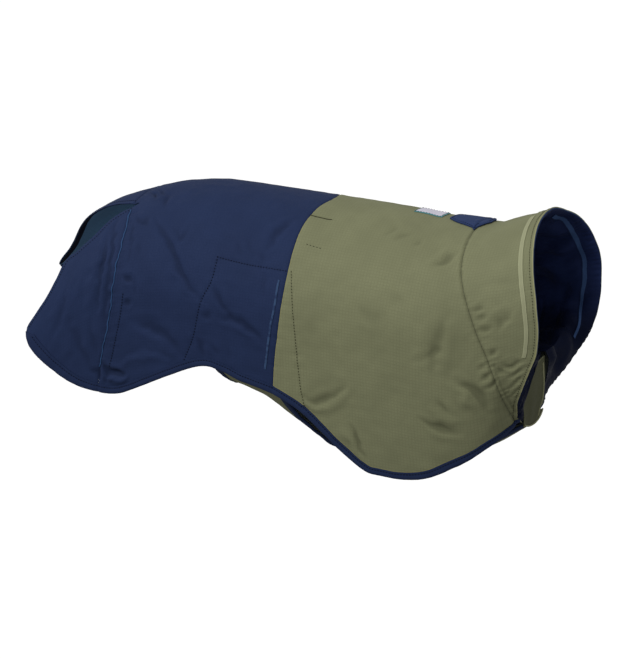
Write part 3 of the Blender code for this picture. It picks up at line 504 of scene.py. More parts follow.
@dataclass
class WornForm:
    """The coat's worn shape, from pattern points to places in space."""

    slope_step: float = 0.0004
    strength: float = 1.6
    lit_side: tuple[float, float] = (0.15, 0.6)
    crest: float = 0.3
    billow: float = 0.00022
    wrinkle: float = 0.00016
    seams: list[SeamLine] = field(default_factory=list)

    @cached_property
    def surface(self) -> SmoothTable:
        """The smooth form over the whole pattern."""
        x = np.arange(-0.43, 0.1951, 0.0025)
        top, half, widest, floor = (
            column(FORM, name, x)[:, None] for name in ("top", "half_width", "widest", "floor")
        )
        turn = np.linspace(0, math.pi, 361)
        rise = np.where(turn < math.pi / 2, top - widest, widest - floor)
        return section_table(x, half * np.sin(turn), widest + rise * np.cos(turn), 0.4, 0.002)

    @cached_property
    def creases(self) -> list[tuple[Array, float, float]]:
        """Every fold's line, width and depth, as drawn and, changed a little, on the other side."""
        rng = np.random.default_rng(SEED)
        made = []
        for crease in map(Crease.read, REAR_CREASES + FRONT_CREASES):
            line = crease.line + np.array(self.lit_side) * crease.width
            made.append((line * (1, Side.RIGHT.value), crease.width, crease.depth))
            moved = line + rng.uniform(-0.006, 0.006, 2) + rng.uniform(-0.002, 0.002, line.shape)
            share = rng.uniform(0.75, 1.1) * (0.3 if line[:, 0].min() > 0.127 else 1.0)
            width = crease.width * rng.uniform(0.9, 1.2)
            made.append((moved * (1, Side.LEFT.value), width, crease.depth * share))
        return [(spline(line, 5), width, depth) for line, width, depth in made]

    @cached_property
    def broad(self) -> SoftNoise:
        """The slow billow of the cloth."""
        return SoftNoise(0.11, 0.045)

    @cached_property
    def fine(self) -> SoftNoise:
        """The small unevenness of the cloth."""
        return SoftNoise(0.03, 0.011, 40, SEED + 1)

    def smooth(self, pattern: Array) -> Array:
        """Pattern points on the smooth form."""
        found = self.surface.at(pattern)
        return np.column_stack([pattern[:, 0], found])

    def half_width(self, x: Array, height: Array) -> Array:
        """Half the form's width at a height below its widest level."""
        widest, floor = column(FORM, "widest", x), column(FORM, "floor", x)
        return column(FORM, "half_width", x) * np.sqrt(1 - ((widest - height) / (widest - floor)) ** 2)

    def pressed(self, pattern: Array) -> Array:
        """How far the folds and the seams lift the cloth."""
        sway = np.column_stack([self.fine.at(pattern), self.fine.at(pattern[:, ::-1] + 0.3)])
        bent = pattern + 0.0011 * sway
        lift = np.zeros(len(pattern))
        for line, width, depth in self.creases:
            low, high = line.min(axis=0) - 3.6 * width, line.max(axis=0) + 3.6 * width
            inside = ((bent > low) & (bent < high)).all(axis=1)
            if not inside.any():
                continue
            away, mark = nearest(bent[inside], line)
            length = lengths_along(line)[-1]
            share = mark / length
            taper = np.sin(math.pi * np.clip(0.12 + 0.76 * share, 0, 1)) ** 1.5
            q = away / (width * (0.75 + 0.5 * np.sin(math.pi * np.clip(share, 0, 1))))
            profile = np.exp(-(q**2)) - self.crest * np.exp(-(((q - 1.9) / 0.85) ** 2))
            ending = 1 - smooth_step((q - 2.6) / 0.9)
            lift[inside] += self.strength * depth * taper * profile * ending
        for seam in self.seams:
            lift += seam.lift(pattern)
        return lift

    def lift(self, pattern: Array) -> Array:
        """How far the folds, the seams and the unevenness lift the cloth off the form."""
        uneven = self.billow * self.broad.at(pattern) + self.wrinkle * self.fine.at(pattern)
        return uneven + self.pressed(pattern)

    def normals_of(self, surface: Callable[[Array], Array], pattern: Array) -> Array:
        """Upward directions of a surface that is given over the pattern.

        Args:
            surface: A function from pattern points to places in space.
            pattern: The pattern points.

        Returns:
            One unit direction for each point.
        """
        step = self.slope_step
        along = surface(pattern + (step, 0)) - surface(pattern - (step, 0))
        around = surface(pattern + (0, step)) - surface(pattern - (0, step))
        across = np.cross(along, around)
        return across / np.linalg.norm(across, axis=1)[:, None]

    def folded(self, pattern: Array) -> Array:
        """Pattern points on the worn cloth's outer face."""
        return self.smooth(pattern) + self.lift(pattern)[:, None] * self.normals_of(self.smooth, pattern)

    def normals(self, pattern: Array) -> Array:
        """Outward directions of the worn cloth."""
        return self.normals_of(self.folded, pattern)

    def worn(self, pattern: Array, out: "Array | float" = 0.0) -> Array:
        """Pattern points moved out from the worn cloth's outer face.

        Args:
            pattern: The pattern points.
            out: How far out from the outer face, one number or one for each point.

        Returns:
            Places in space.
        """
        flat = pattern.reshape(-1, 2)
        out = np.broadcast_to(out, pattern.shape[:-1]).reshape(-1, 1)
        return (self.folded(flat) + out * self.normals(flat)).reshape(*pattern.shape[:-1], 3)

    def cloth(self, grid: Array) -> Array:
        """A grid of pattern points on the worn cloth's outer face."""
        return self.folded(grid.reshape(-1, 2)).reshape(*grid.shape[:2], 3)


@dataclass
class BellyForm:
    """The belly panel's shape, with girth measured from the middle of the belly."""

    form: WornForm
    clearance: float = 0.0033

    @cached_property
    def surface(self) -> SmoothTable:
        """The panel's smooth form."""
        x = np.arange(-0.1675, 0.1426, 0.0025)
        bottom, side = column(BELLY, "bottom", x), column(BELLY, "side", x)
        half = (self.form.half_width(x, side) - self.clearance)[:, None]
        turn = np.linspace(0, math.pi / 2, 181)
        widths = np.hstack([half * np.sin(turn), np.repeat(half, 3, axis=1)])
        heights = side[:, None] - (side - bottom)[:, None] * np.cos(turn)
        heights = np.hstack([heights, side[:, None] + (0.01, 0.02, 0.03)])
        return section_table(x, widths, heights, 0.14, 0.002)

    @cached_property
    def fine(self) -> SoftNoise:
        """The small unevenness of the panel."""
        return SoftNoise(0.06, 0.016, 30, SEED + 5)

    def folded(self, pattern: Array) -> Array:
        """Pattern points on the panel's outer face, which looks down."""
        smooth = self.smooth(pattern)
        rise = 0.0005 * self.fine.at(pattern)
        return smooth + rise[:, None] * self.form.normals_of(self.smooth, pattern)

    def smooth(self, pattern: Array) -> Array:
        """Pattern points on the smooth panel."""
        return np.column_stack([pattern[:, 0], self.surface.at(pattern)])

    def worn(self, pattern: Array, out: "Array | float" = 0.0) -> Array:
        """Pattern points moved out from the panel's outer face.

        Args:
            pattern: The pattern points.
            out: How far out, which is down.

        Returns:
            Places in space.
        """
        flat = pattern.reshape(-1, 2)
        out = np.broadcast_to(out, pattern.shape[:-1]).reshape(-1, 1)
        moved = self.folded(flat) - out * self.form.normals_of(self.folded, flat)
        return moved.reshape(*pattern.shape[:-1], 3)


# ---- lines of the cut ----


class Line:
    """A line in the pattern, measured by marks along it."""

    def __init__(self, points: Array, marks: "Array | None" = None) -> None:
        """Keep the points, and their marks where they aren't plain distances."""
        self.points = points
        self.marks = lengths_along(points) if marks is None else marks

    def at(self, marks: Array) -> Array:
        """Points at these marks."""
        return np.column_stack([np.interp(marks, self.marks, self.points[:, k]) for k in (0, 1)])

    def beside(self, marks: Array, distance: "Array | float") -> Array:
        """Points beside the line, to its left where the distance is above 0.

        Args:
            marks: Marks along the line.
            distance: How far beside it, one number or one for each mark.

        Returns:
            The points.
        """
        ahead = self.at(np.asarray(marks) + 0.002) - self.at(np.asarray(marks) - 0.002)
        ahead /= np.linalg.norm(ahead, axis=1)[:, None]
        distance = np.broadcast_to(distance, np.shape(marks))[:, None]
        return self.at(marks) + distance * np.column_stack([-ahead[:, 1], ahead[:, 0]])

    def strip(self, marks: Array, offsets: Iterable["Array | float"]) -> Array:
        """The grid of a strip along the line, one column for each offset."""
        return np.stack([self.beside(marks, offset) for offset in offsets], axis=1)

    def shifted(self, distance: "Array | float") -> "Line":
        """The line moved sideways, with its marks kept."""
        return Line(self.beside(self.marks, distance), self.marks)

    def mark_near(self, point: Sequence[float]) -> float:
        """The mark of the line's point nearest this one."""
        return float(self.marks[np.linalg.norm(self.points - np.array(point), axis=1).argmin()])

    def mark_of_girth(self, girth: float) -> float:
        """The mark where a line whose girth rises along it has this girth."""
        return float(np.interp(girth, self.points[:, 1], self.marks))

    def crossings(self, other: "Line") -> list[tuple[float, float]]:
        """Where this line crosses another.

        Args:
            other: The other line.

        Returns:
            Pairs of marks, on this line and on the other, in this line's order.
        """
        a, r = self.points[:-1, None], np.diff(self.points, axis=0)[:, None]
        c, s = other.points[None, :-1], np.diff(other.points, axis=0)[None]
        turn = r[..., 0] * s[..., 1] - r[..., 1] * s[..., 0]
        turn = np.where(np.abs(turn) < 1e-15, np.inf, turn)
        t = ((c - a)[..., 0] * s[..., 1] - (c - a)[..., 1] * s[..., 0]) / turn
        u = ((c - a)[..., 0] * r[..., 1] - (c - a)[..., 1] * r[..., 0]) / turn
        found = np.argwhere((t >= 0) & (t < 1) & (u >= 0) & (u < 1))
        return sorted(
            (
                float(self.marks[i] + t[i, j] * (self.marks[i + 1] - self.marks[i])),
                float(other.marks[j] + u[i, j] * (other.marks[j + 1] - other.marks[j])),
            )
            for i, j in found
        )


def crossing_line(right_rows: Sequence[Sequence[float]], left_rows: Sequence[Sequence[float]]) -> Line:
    """A line across the back, from the right hem over the back line to the left hem."""
    rows = [(-girth, x) for x, girth in reversed(right_rows[1:])]
    rows += [(girth, x) for x, girth in left_rows]
    girths, places = zip(*rows)
    girth = np.linspace(girths[0], girths[-1], 241)
    return Line(np.column_stack([rising_curve(girths, places, girth), girth]))


def side_line(rows: Sequence[Sequence[float]], side: Side) -> Line:
    """A line of one side of the coat, from rows that hold for both."""
    return Line(spline([(x, side.value * girth) for x, girth in rows]))


class Cut:
    """The coat's cut: its lines, and the marks where they meet the cloth's edge inside the binding."""

    def __init__(self) -> None:
        """Draw every line of the cut."""
        hem_rows = [*reversed(HEM_RIGHT), TAIL_NOTCH, *HEM_LEFT]
        self.hem = Line(spline(hem_rows))
        self.notch = self.hem.mark_near(TAIL_NOTCH)
        self.corners = {side: self.hem.mark_near(REAR_CORNER[side]) for side in Side}
        self.edge = self.hem.shifted(-CLOTH_INSET * self.bound(self.hem.marks))
        self.neck = crossing_line(NECK_EDGE_RIGHT, NECK_EDGE_LEFT)
        self.middle = crossing_line(MIDDLE_SEAM, MIDDLE_SEAM)
        self.collar = crossing_line(COLLAR_SEAM, COLLAR_SEAM)
        self.flap_seams = {
            side: Line(spline([FLAP_SEAM_START[side], *((x, side.value * girth) for x, girth in FLAP_SEAM)]))
            for side in Side
        }

    def bound(self, marks: Array) -> Array:
        """How much of its full width the hem binding has at these marks: none between the rear corners."""
        past = np.maximum(self.corners[Side.RIGHT] - marks, marks - self.corners[Side.LEFT])
        return np.clip(past / BINDING_TAPER, 0, 1)

    def flap_line(self, side: Side, ahead: int) -> tuple[Line, list[tuple[float, float]]]:
        """A flap's seam moved half a gap ahead of it or behind it.

        Args:
            side: The flap's side.
            ahead: 1 for the back panel's edge, -1 for the flap's.

        Returns:
            The line, and its feet on the cloth's edge, the hem's first.
        """
        line = self.flap_seams[side].shifted(-side.value * ahead * SEAM_GAP / 2)
        feet = self.edge.crossings(line)
        return line, feet if side is Side.RIGHT else feet[::-1]

    def chest_mark(self, side: Side) -> float:
        """The hem's mark where the neck edge meets it on one side."""
        feet = self.edge.crossings(self.neck)
        return feet[0][0] if side is Side.RIGHT else feet[-1][0]

    def neck_x(self, girth: "Array | float") -> "Array | float":
        """Where the neck edge is at a girth."""
        return np.interp(girth, self.neck.points[:, 1], self.neck.points[:, 0])

    def inside_binding(self, pattern: Array) -> Array:
        """How far pattern points lie inside the binding's inner edge."""
        coarse = np.arange(0, self.hem.marks[-1], 0.004)
        away, _ = nearest(pattern, self.hem.at(coarse))
        return away - BINDING_WIDTH


def graded(length: float, step: float, fine: Sequence[float] = (0.0005, 0.0012, 0.0022)) -> Array:
    """Shares from 0 to 1, evenly spaced but closer at both ends.

    Args:
        length: The distance that the shares stand for.
        step: The even spacing.
        fine: Distances from each end where rows are added.

    Returns:
        The rising shares.
    """
    inner = np.linspace(fine[-1], length - fine[-1], max(2, round((length - 2 * fine[-1]) / step) + 1))
    ends = np.array(fine[:-1])
    return np.concatenate([[0], ends, inner, (length - ends)[::-1], [length]]) / length


def lattice(first: Array, second: Array) -> Array:
    """The grid of every value of the first list with every value of the second."""
    return np.stack(np.meshgrid(first, second, indexing="ij"), axis=2)


def patch(first: Array, last: Array, start: Array, end: Array, s: Array, t: Array) -> Array:
    """A grid between four edges: first and last run side by side, start and end join their ends.

    Args:
        first: The points of the row at s = 0.
        last: The points of the row at s = 1.
        start: The points of the column at t = 0.
        end: The points of the column at t = 1.
        s: The share of each row.
        t: The share of each column.

    Returns:
        The grid of points.
    """
    s, t = s[:, None, None], t[None, :, None]
    ruled = (1 - s) * first[None] + s * last[None]
    joined = (1 - t) * start[:, None] + t * end[:, None]
    corners = (
        (1 - s) * (1 - t) * first[0] + (1 - s) * t * first[-1] + s * (1 - t) * last[0] + s * t * last[-1]
    )
    return ruled + joined - corners


# ---- finishes ----


class Surface:
    """A material's nodes while they are being joined up."""

    def __init__(self, name: str) -> None:
        """Start a material with a plain shader.

        Args:
            name: The material's name.
        """
        self.material = bpy.data.materials.new(name)
        self.material.use_nodes = True
        self.tree = self.material.node_tree
        self.shader = self.tree.nodes["Principled BSDF"]

    def join(self, value: "Socket | float | Colour", socket: Socket) -> None:
        """Give a socket a value or link it to another.

        Args:
            value: A number, a colour or an output socket.
            socket: The input socket.
        """
        if isinstance(value, bpy.types.NodeSocket):
            self.tree.links.new(value, socket)
        elif isinstance(value, tuple):
            socket.default_value = (*value, 1.0)[: len(socket.default_value)]
        else:
            socket.default_value = value

    def math(self, operation: str, *values: "Socket | float") -> Socket:
        """A Math node's result."""
        node = self.tree.nodes.new("ShaderNodeMath")
        node.operation = operation
        for value, socket in zip(values, node.inputs):
            self.join(value, socket)
        return node.outputs[0]

    def times(self, first: Socket, second: "Socket | float") -> Socket:
        """Two numbers multiplied."""
        return self.math("MULTIPLY", first, second)

    def ranged(self, value: Socket, low: float, high: float, first: float = 0.0, last: float = 1.0) -> Socket:
        """A value spread softly from one range to another.

        Args:
            value: The value to read.
            low: Where the range starts.
            high: Where the range ends.
            first: The result at its start.
            last: The result at its end.

        Returns:
            The result's socket.
        """
        node = self.tree.nodes.new("ShaderNodeMapRange")
        node.interpolation_type = "SMOOTHSTEP"
        for amount, socket in zip((value, low, high, first, last), node.inputs):
            self.join(amount, socket)
        return node.outputs[0]

    def mix(self, share: "Socket | float", first: "Socket | Colour", second: "Socket | Colour") -> Socket:
        """Two colours mixed."""
        node = self.tree.nodes.new("ShaderNodeMix")
        node.data_type = "RGBA"
        self.join(share, node.inputs[0])
        self.join(first, node.inputs[6])
        self.join(second, node.inputs[7])
        return node.outputs[2]

    def tinted(self, base: Socket, share: Socket, most: float, colour: Colour) -> Socket:
        """A colour with this much of another laid over it where the share is 1."""
        return self.mix(self.times(share, most), base, colour)

    def pattern(self) -> tuple[Socket, Socket]:
        """The two pattern coordinates of the cloth, from its UV map, in metres."""
        where = self.tree.nodes.new("ShaderNodeTexCoord")
        split = self.tree.nodes.new("ShaderNodeSeparateXYZ")
        self.join(where.outputs["UV"], split.inputs[0])
        return split.outputs[0], split.outputs[1]

    def noise(self, scale: float, detail: float = 3.0) -> Socket:
        """Noise over the object's own place, with this many cells a metre."""
        where = self.tree.nodes.new("ShaderNodeTexCoord")
        node = self.tree.nodes.new("ShaderNodeTexNoise")
        self.join(where.outputs["Object"], node.inputs["Vector"])
        self.join(scale, node.inputs["Scale"])
        self.join(detail, node.inputs["Detail"])
        return node.outputs["Fac"]

    def attribute(self, name: str) -> Socket:
        """A number that the mesh carries at its points."""
        node = self.tree.nodes.new("ShaderNodeAttribute")
        node.attribute_name = name
        return node.outputs["Fac"]

    def bands(self, along: Socket, pitch: float, low: float, high: float) -> Socket:
        """Lines across a coordinate."""
        cells = self.math("DIVIDE", along, pitch)
        return self.ranged(self.math("PINGPONG", cells, 0.5), low, high)

    def ripple(self, along: Socket, pitch: float) -> Socket:
        """Waves across a coordinate, from -1 to 1."""
        return self.math("SINE", self.times(along, 2 * math.pi / pitch))

    def ripstop(self, x: Socket, girth: Socket, cell: float) -> Socket:
        """The fine grid of thicker threads over both pattern coordinates."""
        return self.math("MAXIMUM", self.bands(x, cell, 0.33, 0.47), self.bands(girth, cell, 0.33, 0.47))

    def raised(self, height: Socket, distance: float, strength: float = 1.0) -> None:
        """Bump the surface by a height."""
        node = self.tree.nodes.new("ShaderNodeBump")
        self.join(strength, node.inputs["Strength"])
        self.join(distance, node.inputs["Distance"])
        self.join(height, node.inputs["Height"])
        self.join(node.outputs[0], self.shader.inputs["Normal"])

    def done(
        self, colour: Socket, rough: "Socket | float", specular: float = 0.05, **sheen: float
    ) -> bpy.types.Material:
        """Give the shader its colour, roughness and shine, and hand the material over."""
        self.set(Base_Color=colour, Roughness=rough, Specular_IOR_Level=specular, Metallic=0.0, **sheen)
        return self.material

    def set(self, **values: "Socket | float | Colour") -> None:
        """Set the shader's sockets, named with _ for a space."""
        for name, value in values.items():
            self.join(value, self.shader.inputs[name.replace("_", " ")])


def shade(colour: Colour, amount: float) -> Colour:
    """A colour made lighter or darker by a factor."""
    return tuple(part * amount for part in colour)


@dataclass(frozen=True)
class ShellCloth:
    """Coated shell cloth with a fine grid of thicker threads."""

    name: str
    colour: Colour
    edge: Colour
    grid: float
    cell: float = 0.0031
    weave: float = 0.0007
    roughness: float = 0.7
    sheen: float = 0.006

    def material(self) -> bpy.types.Material:
        """The cloth's material."""
        surface = Surface(self.name)
        x, girth = surface.pattern()
        lines = surface.ripstop(x, girth, self.cell)
        threads = surface.times(surface.ripple(x, self.weave), surface.ripple(girth, self.weave))
        cloudy = surface.ranged(surface.noise(26.0, 4.0), 0.32, 0.68)
        grain = surface.ranged(surface.noise(900.0, 2.0), 0.3, 0.7)
        base = surface.mix(cloudy, shade(self.colour, 0.94), shade(self.colour, 1.06))
        base = surface.tinted(base, grain, 0.5, shade(self.colour, 0.9))
        base = surface.tinted(base, lines, self.grid, shade(self.colour, 0.62))
        # Painted shade: where folds and seams press the cloth down (the fold attribute below 0 mm), the
        # colour darkens up to halfway towards 0.45 of itself, standing in for the shade inside the troughs.
        pressed = surface.ranged(surface.attribute("fold"), -1.5, 0.05, 1.0, 0.0)
        base = surface.tinted(base, pressed, 0.5, shade(self.colour, 0.45))
        near = surface.ranged(surface.attribute("edge"), 0.0002, 0.0013, 1.0, 0.0)
        base = surface.tinted(base, near, 0.8, self.edge)
        height = surface.math("ADD", surface.times(threads, 0.22), surface.times(lines, 0.8))
        height = surface.math("ADD", height, surface.times(grain, 0.25))
        surface.raised(height, 0.00012, 0.55)
        rough = surface.ranged(grain, 0.0, 1.0, self.roughness - 0.05, self.roughness + 0.07)
        return surface.done(base, rough, Sheen_Weight=self.sheen, Sheen_Roughness=0.5)


@dataclass(frozen=True)
class CoatedInside:
    """The coated inner face of the shell cloth, with the weave faint behind it."""

    name: str
    colour: Colour
    roughness: float = 0.6

    def material(self) -> bpy.types.Material:
        """The inner face's material."""
        surface = Surface(self.name)
        x, girth = surface.pattern()
        lines = surface.ripstop(x, girth, ShellCloth.cell)
        cloudy = surface.ranged(surface.noise(40.0, 4.0), 0.3, 0.7)
        base = surface.mix(cloudy, shade(self.colour, 0.9), shade(self.colour, 1.08))
        base = surface.tinted(base, lines, 0.22, shade(self.colour, 0.72))
        surface.raised(surface.math("ADD", lines, surface.noise(500.0)), 0.00008, 0.5)
        rough = surface.ranged(cloudy, 0.0, 1.0, self.roughness - 0.05, self.roughness + 0.06)
        return surface.done(base, rough, 0.1)


@dataclass(frozen=True)
class RibbedTape:
    """Woven tape or webbing, with ribs across it."""

    name: str
    colour: Colour
    rib: float = 0.0009
    depth: float = 0.00012
    contrast: float = 0.22
    roughness: float = 0.75
    border: float = 0.0
    rubbed: Colour | None = None

    def material(self) -> bpy.types.Material:
        """The tape's material."""
        surface = Surface(self.name)
        along, across = surface.pattern()
        ribs = surface.ranged(surface.ripple(along, self.rib), -1.0, 1.0)
        threads = surface.ranged(surface.ripple(across, self.rib * 0.6), -1.0, 1.0)
        woven = surface.math("ADD", surface.times(ribs, 0.7), surface.times(threads, 0.3))
        cloudy = surface.ranged(surface.noise(60.0, 4.0), 0.32, 0.68)
        base = surface.mix(cloudy, shade(self.colour, 0.92), shade(self.colour, 1.08))
        base = surface.mix(surface.times(woven, self.contrast), shade(self.colour, 1.1), base)
        if self.border:
            rim = surface.ranged(surface.math("ABSOLUTE", across), self.border, self.border + 0.0004)
            base = surface.tinted(base, rim, 0.8, shade(self.colour, 1.3))
        if self.rubbed:
            bare = surface.ranged(surface.noise(210.0, 2.0), 0.42, 0.6)
            base = surface.tinted(base, bare, 0.85, self.rubbed)
        surface.raised(surface.math("ADD", woven, surface.noise(800.0)), self.depth, 0.6)
        rough = surface.ranged(woven, 0.0, 1.0, self.roughness - 0.06, self.roughness + 0.08)
        return surface.done(base, rough, Sheen_Weight=0.01, Sheen_Roughness=0.5)


@dataclass(frozen=True)
class SoftLining:
    """Thin plain-woven lining with a faint sheen."""

    name: str
    colour: Colour
    roughness: float = 0.55

    def material(self) -> bpy.types.Material:
        """The lining's material."""
        surface = Surface(self.name)
        x, girth = surface.pattern()
        threads = surface.times(surface.ripple(x, 0.0008), surface.ripple(girth, 0.0008))
        cloudy = surface.ranged(surface.noise(45.0, 5.0), 0.3, 0.7)
        base = surface.mix(cloudy, shade(self.colour, 0.85), shade(self.colour, 1.15))
        # Painted shade: past 0.155 m of girth, where the lining turns in deep at the throat, its colour
        # darkens up to 80% of the way to a fifth of itself.
        low = surface.ranged(surface.math("ABSOLUTE", girth), 0.155, 0.195)
        base = surface.tinted(base, low, 0.8, shade(self.colour, 0.2))
        surface.raised(surface.math("ADD", threads, surface.noise(700.0)), 0.0001, 0.5)
        rough = surface.ranged(cloudy, 0.0, 1.0, self.roughness - 0.05, self.roughness + 0.05)
        return surface.done(base, rough, Sheen_Weight=0.01, Sheen_Roughness=0.4)


@dataclass(frozen=True)
class Thread:
    """Sewing thread, with its twist."""

    name: str
    colour: Colour

    def material(self) -> bpy.types.Material:
        """The thread's material."""
        surface = Surface(self.name)
        twist = surface.ranged(surface.noise(2600.0, 2.0), 0.35, 0.65)
        surface.raised(twist, 0.00008, 0.6)
        return surface.done(surface.mix(twist, shade(self.colour, 0.75), shade(self.colour, 1.2)), 0.7, 0.1)


@dataclass(frozen=True)
class LabelCloth:
    """Blank satin label cloth with a narrow border woven in."""

    name: str
    colour: Colour
    border: Colour

    def material(self) -> bpy.types.Material:
        """The label's material."""
        surface = Surface(self.name)
        x, girth = surface.pattern()
        ribs = surface.ranged(surface.ripple(girth, 0.0005), -1.0, 1.0)
        floats = surface.ranged(surface.noise(1500.0, 2.0), 0.35, 0.65)
        base = surface.mix(surface.times(ribs, 0.35), self.colour, shade(self.colour, 0.82))
        near = surface.ranged(surface.attribute("edge"), 0.0011, 0.0016, 1.0, 0.0)
        base = surface.mix(near, base, self.border)
        surface.raised(surface.math("ADD", ribs, floats), 0.00006, 0.5)
        rough = surface.ranged(floats, 0.0, 1.0, 0.42, 0.52)
        return surface.done(base, rough, 0.3)


NAVY: Colour = (0.015, 0.0256, 0.0685)
DARK_NAVY: Colour = (0.0122, 0.0208, 0.056)
OLIVE: Colour = (0.166, 0.172, 0.098)

FINISHES = {
    "navy": ShellCloth("navy shell cloth", NAVY, (0.0055, 0.015, 0.06), grid=0.14),
    "tab navy": ShellCloth("navy tab cloth", shade(NAVY, 1.45), shade(NAVY, 1.45), grid=0.05),
    "olive": ShellCloth("olive shell cloth", OLIVE, (0.236, 0.226, 0.1), grid=0.24),
    # Painted shade: the throat piece wears the olive cloth at half its brightness, with its edges at 0.8, for
    # the shadow that the throat lies in.
    "shaded throat olive": ShellCloth("olive throat cloth", shade(OLIVE, 0.5), shade(OLIVE, 0.8), grid=0.24),
    "navy inside": CoatedInside("coated navy inside", (0.082, 0.176, 0.305)),
    "olive inside": CoatedInside("coated olive inside", (0.09, 0.1, 0.08)),
    "lining": SoftLining("navy lining", (0.009, 0.016, 0.057)),
    "binding": RibbedTape("navy binding", DARK_NAVY, rib=0.0011),
    # Near-black tape: the rear facings' own dark colour, kept this dark to also paint the shadow under the
    # flaps' top edge. The hidden seam tapes use it too.
    "facing": RibbedTape("dark facing", (0.0018, 0.003, 0.012), rib=0.001),
    "webbing": RibbedTape("navy webbing", shade(DARK_NAVY, 0.8), rib=0.0017, depth=0.0003, contrast=0.4),
    "blue piping": RibbedTape("blue piping", (0.02, 0.048, 0.118), rib=0.0008, roughness=0.6),
    "rubbed blue": RibbedTape("rubbed blue tape", (0.029, 0.054, 0.115), rib=0.0008, rubbed=shade(NAVY, 1.1)),
    "lining blue": RibbedTape("blue lining tape", (0.03, 0.06, 0.145), rib=0.0008, roughness=0.6),
    "olive tape": RibbedTape("light olive tape", (0.225, 0.231, 0.142), rib=0.001, border=0.0011),
    "olive cord": RibbedTape("light olive cord", (0.23, 0.232, 0.135), rib=0.0008),
    "label": LabelCloth("blank label cloth", (0.52, 0.505, 0.59), (0.09, 0.26, 0.29)),
    "navy thread": Thread("navy thread", (0.0024, 0.0036, 0.013)),
    "dark thread": Thread("dark olive thread", (0.032, 0.032, 0.015)),
}


def finish(name: str) -> bpy.types.Material:
    """The material of one of the coat's finishes, made the first time it is asked for."""
    found = bpy.data.materials.get(FINISHES[name].name)
    return found or FINISHES[name].material()


# ---- meshes ----


def grid_faces(rows: int, columns: int) -> Array:
    """The faces of a grid of points, in rows."""
    i, j = np.meshgrid(np.arange(rows - 1), np.arange(columns - 1), indexing="ij")
    corner = (i * columns + j).ravel()
    return np.stack([corner, corner + columns, corner + columns + 1, corner + 1], axis=1)


def grid_normals(grid: Array) -> Array:
    """Outward directions at the points of a grid in space."""
    across = np.cross(np.gradient(grid, axis=0), np.gradient(grid, axis=1))
    return across / np.maximum(np.linalg.norm(across, axis=2), 1e-12)[..., None]


def rim_of(rows: int, columns: int) -> Array:
    """The points round a grid's border, in the order that its faces turn."""
    index = np.arange(rows * columns).reshape(rows, columns)
    return np.concatenate([index[:-1, 0], index[-1, :-1], index[:0:-1, -1], index[0, :0:-1]])


def linked(name: str, held: bpy.types.ID) -> bpy.types.Object:
    """A new object that holds a mesh, a light or a camera, linked into the scene."""
    made = bpy.data.objects.new(name, held)
    bpy.context.scene.collection.objects.link(made)
    return made


def new_object(name: str, mesh: bpy.types.Mesh, finishes: Iterable[str]) -> bpy.types.Object:
    """Link a mesh into the scene with its materials."""
    for each in finishes:
        mesh.materials.append(finish(each))
    return linked(name, mesh)


def shell(
    name: str,
    grid: Array,
    thickness: float,
    uv: Array,
    finishes: Sequence[str],
    edge: "Array | None" = None,
    fold: "Array | None" = None,
) -> bpy.types.Object:
    """A closed sheet of cloth, thickened inwards from a grid of points on its outer face.

    Args:
        name: The piece's name.
        grid: Points on the outer face.
        thickness: The cloth's thickness.
        uv: Pattern coordinates of the grid, in metres.
        finishes: The outer face's finish, and the inner face's where it differs.
        edge: How far each point is from the cloth's visible edge.
        fold: How far folds and seams lift each point, in millimetres, from which the shell cloth paints shade
            into the troughs.

    Returns:
        The piece.
    """
    rows, columns = grid.shape[:2]
    count = rows * columns
    inner = grid - thickness * grid_normals(grid)
    points = np.concatenate([grid.reshape(-1, 3), inner.reshape(-1, 3)])
    outer_faces = grid_faces(rows, columns)
    border = rim_of(rows, columns)
    following = np.roll(border, -1)
    rim = np.stack([following, border, border + count, following + count], axis=1)
    faces = np.concatenate([outer_faces, outer_faces[:, ::-1] + count, rim])
    mesh = bpy.data.meshes.new(name)
    mesh.from_pydata(points.tolist(), [], faces.tolist())
    layer = mesh.uv_layers.new(name="pattern")
    flat = np.tile(uv.reshape(-1, 2), (2, 1))
    layer.data.foreach_set("uv", flat[faces.ravel()].astype(np.float32).ravel())
    for label, values, plain in (("edge", edge, 1.0), ("fold", fold, 0.0)):
        kept = mesh.attributes.new(label, "FLOAT", "POINT")
        values = np.full(count, plain) if values is None else values.ravel()
        kept.data.foreach_set("value", np.tile(values, 2).astype(np.float32))
    side = np.zeros(len(faces), np.int32)
    side[len(outer_faces) : 2 * len(outer_faces)] = len(finishes) - 1
    mesh.shade_smooth()
    made = new_object(name, mesh, finishes)
    mesh.polygons.foreach_set("material_index", side)
    mesh.set_sharp_from_angle(angle=math.radians(55))
    return made


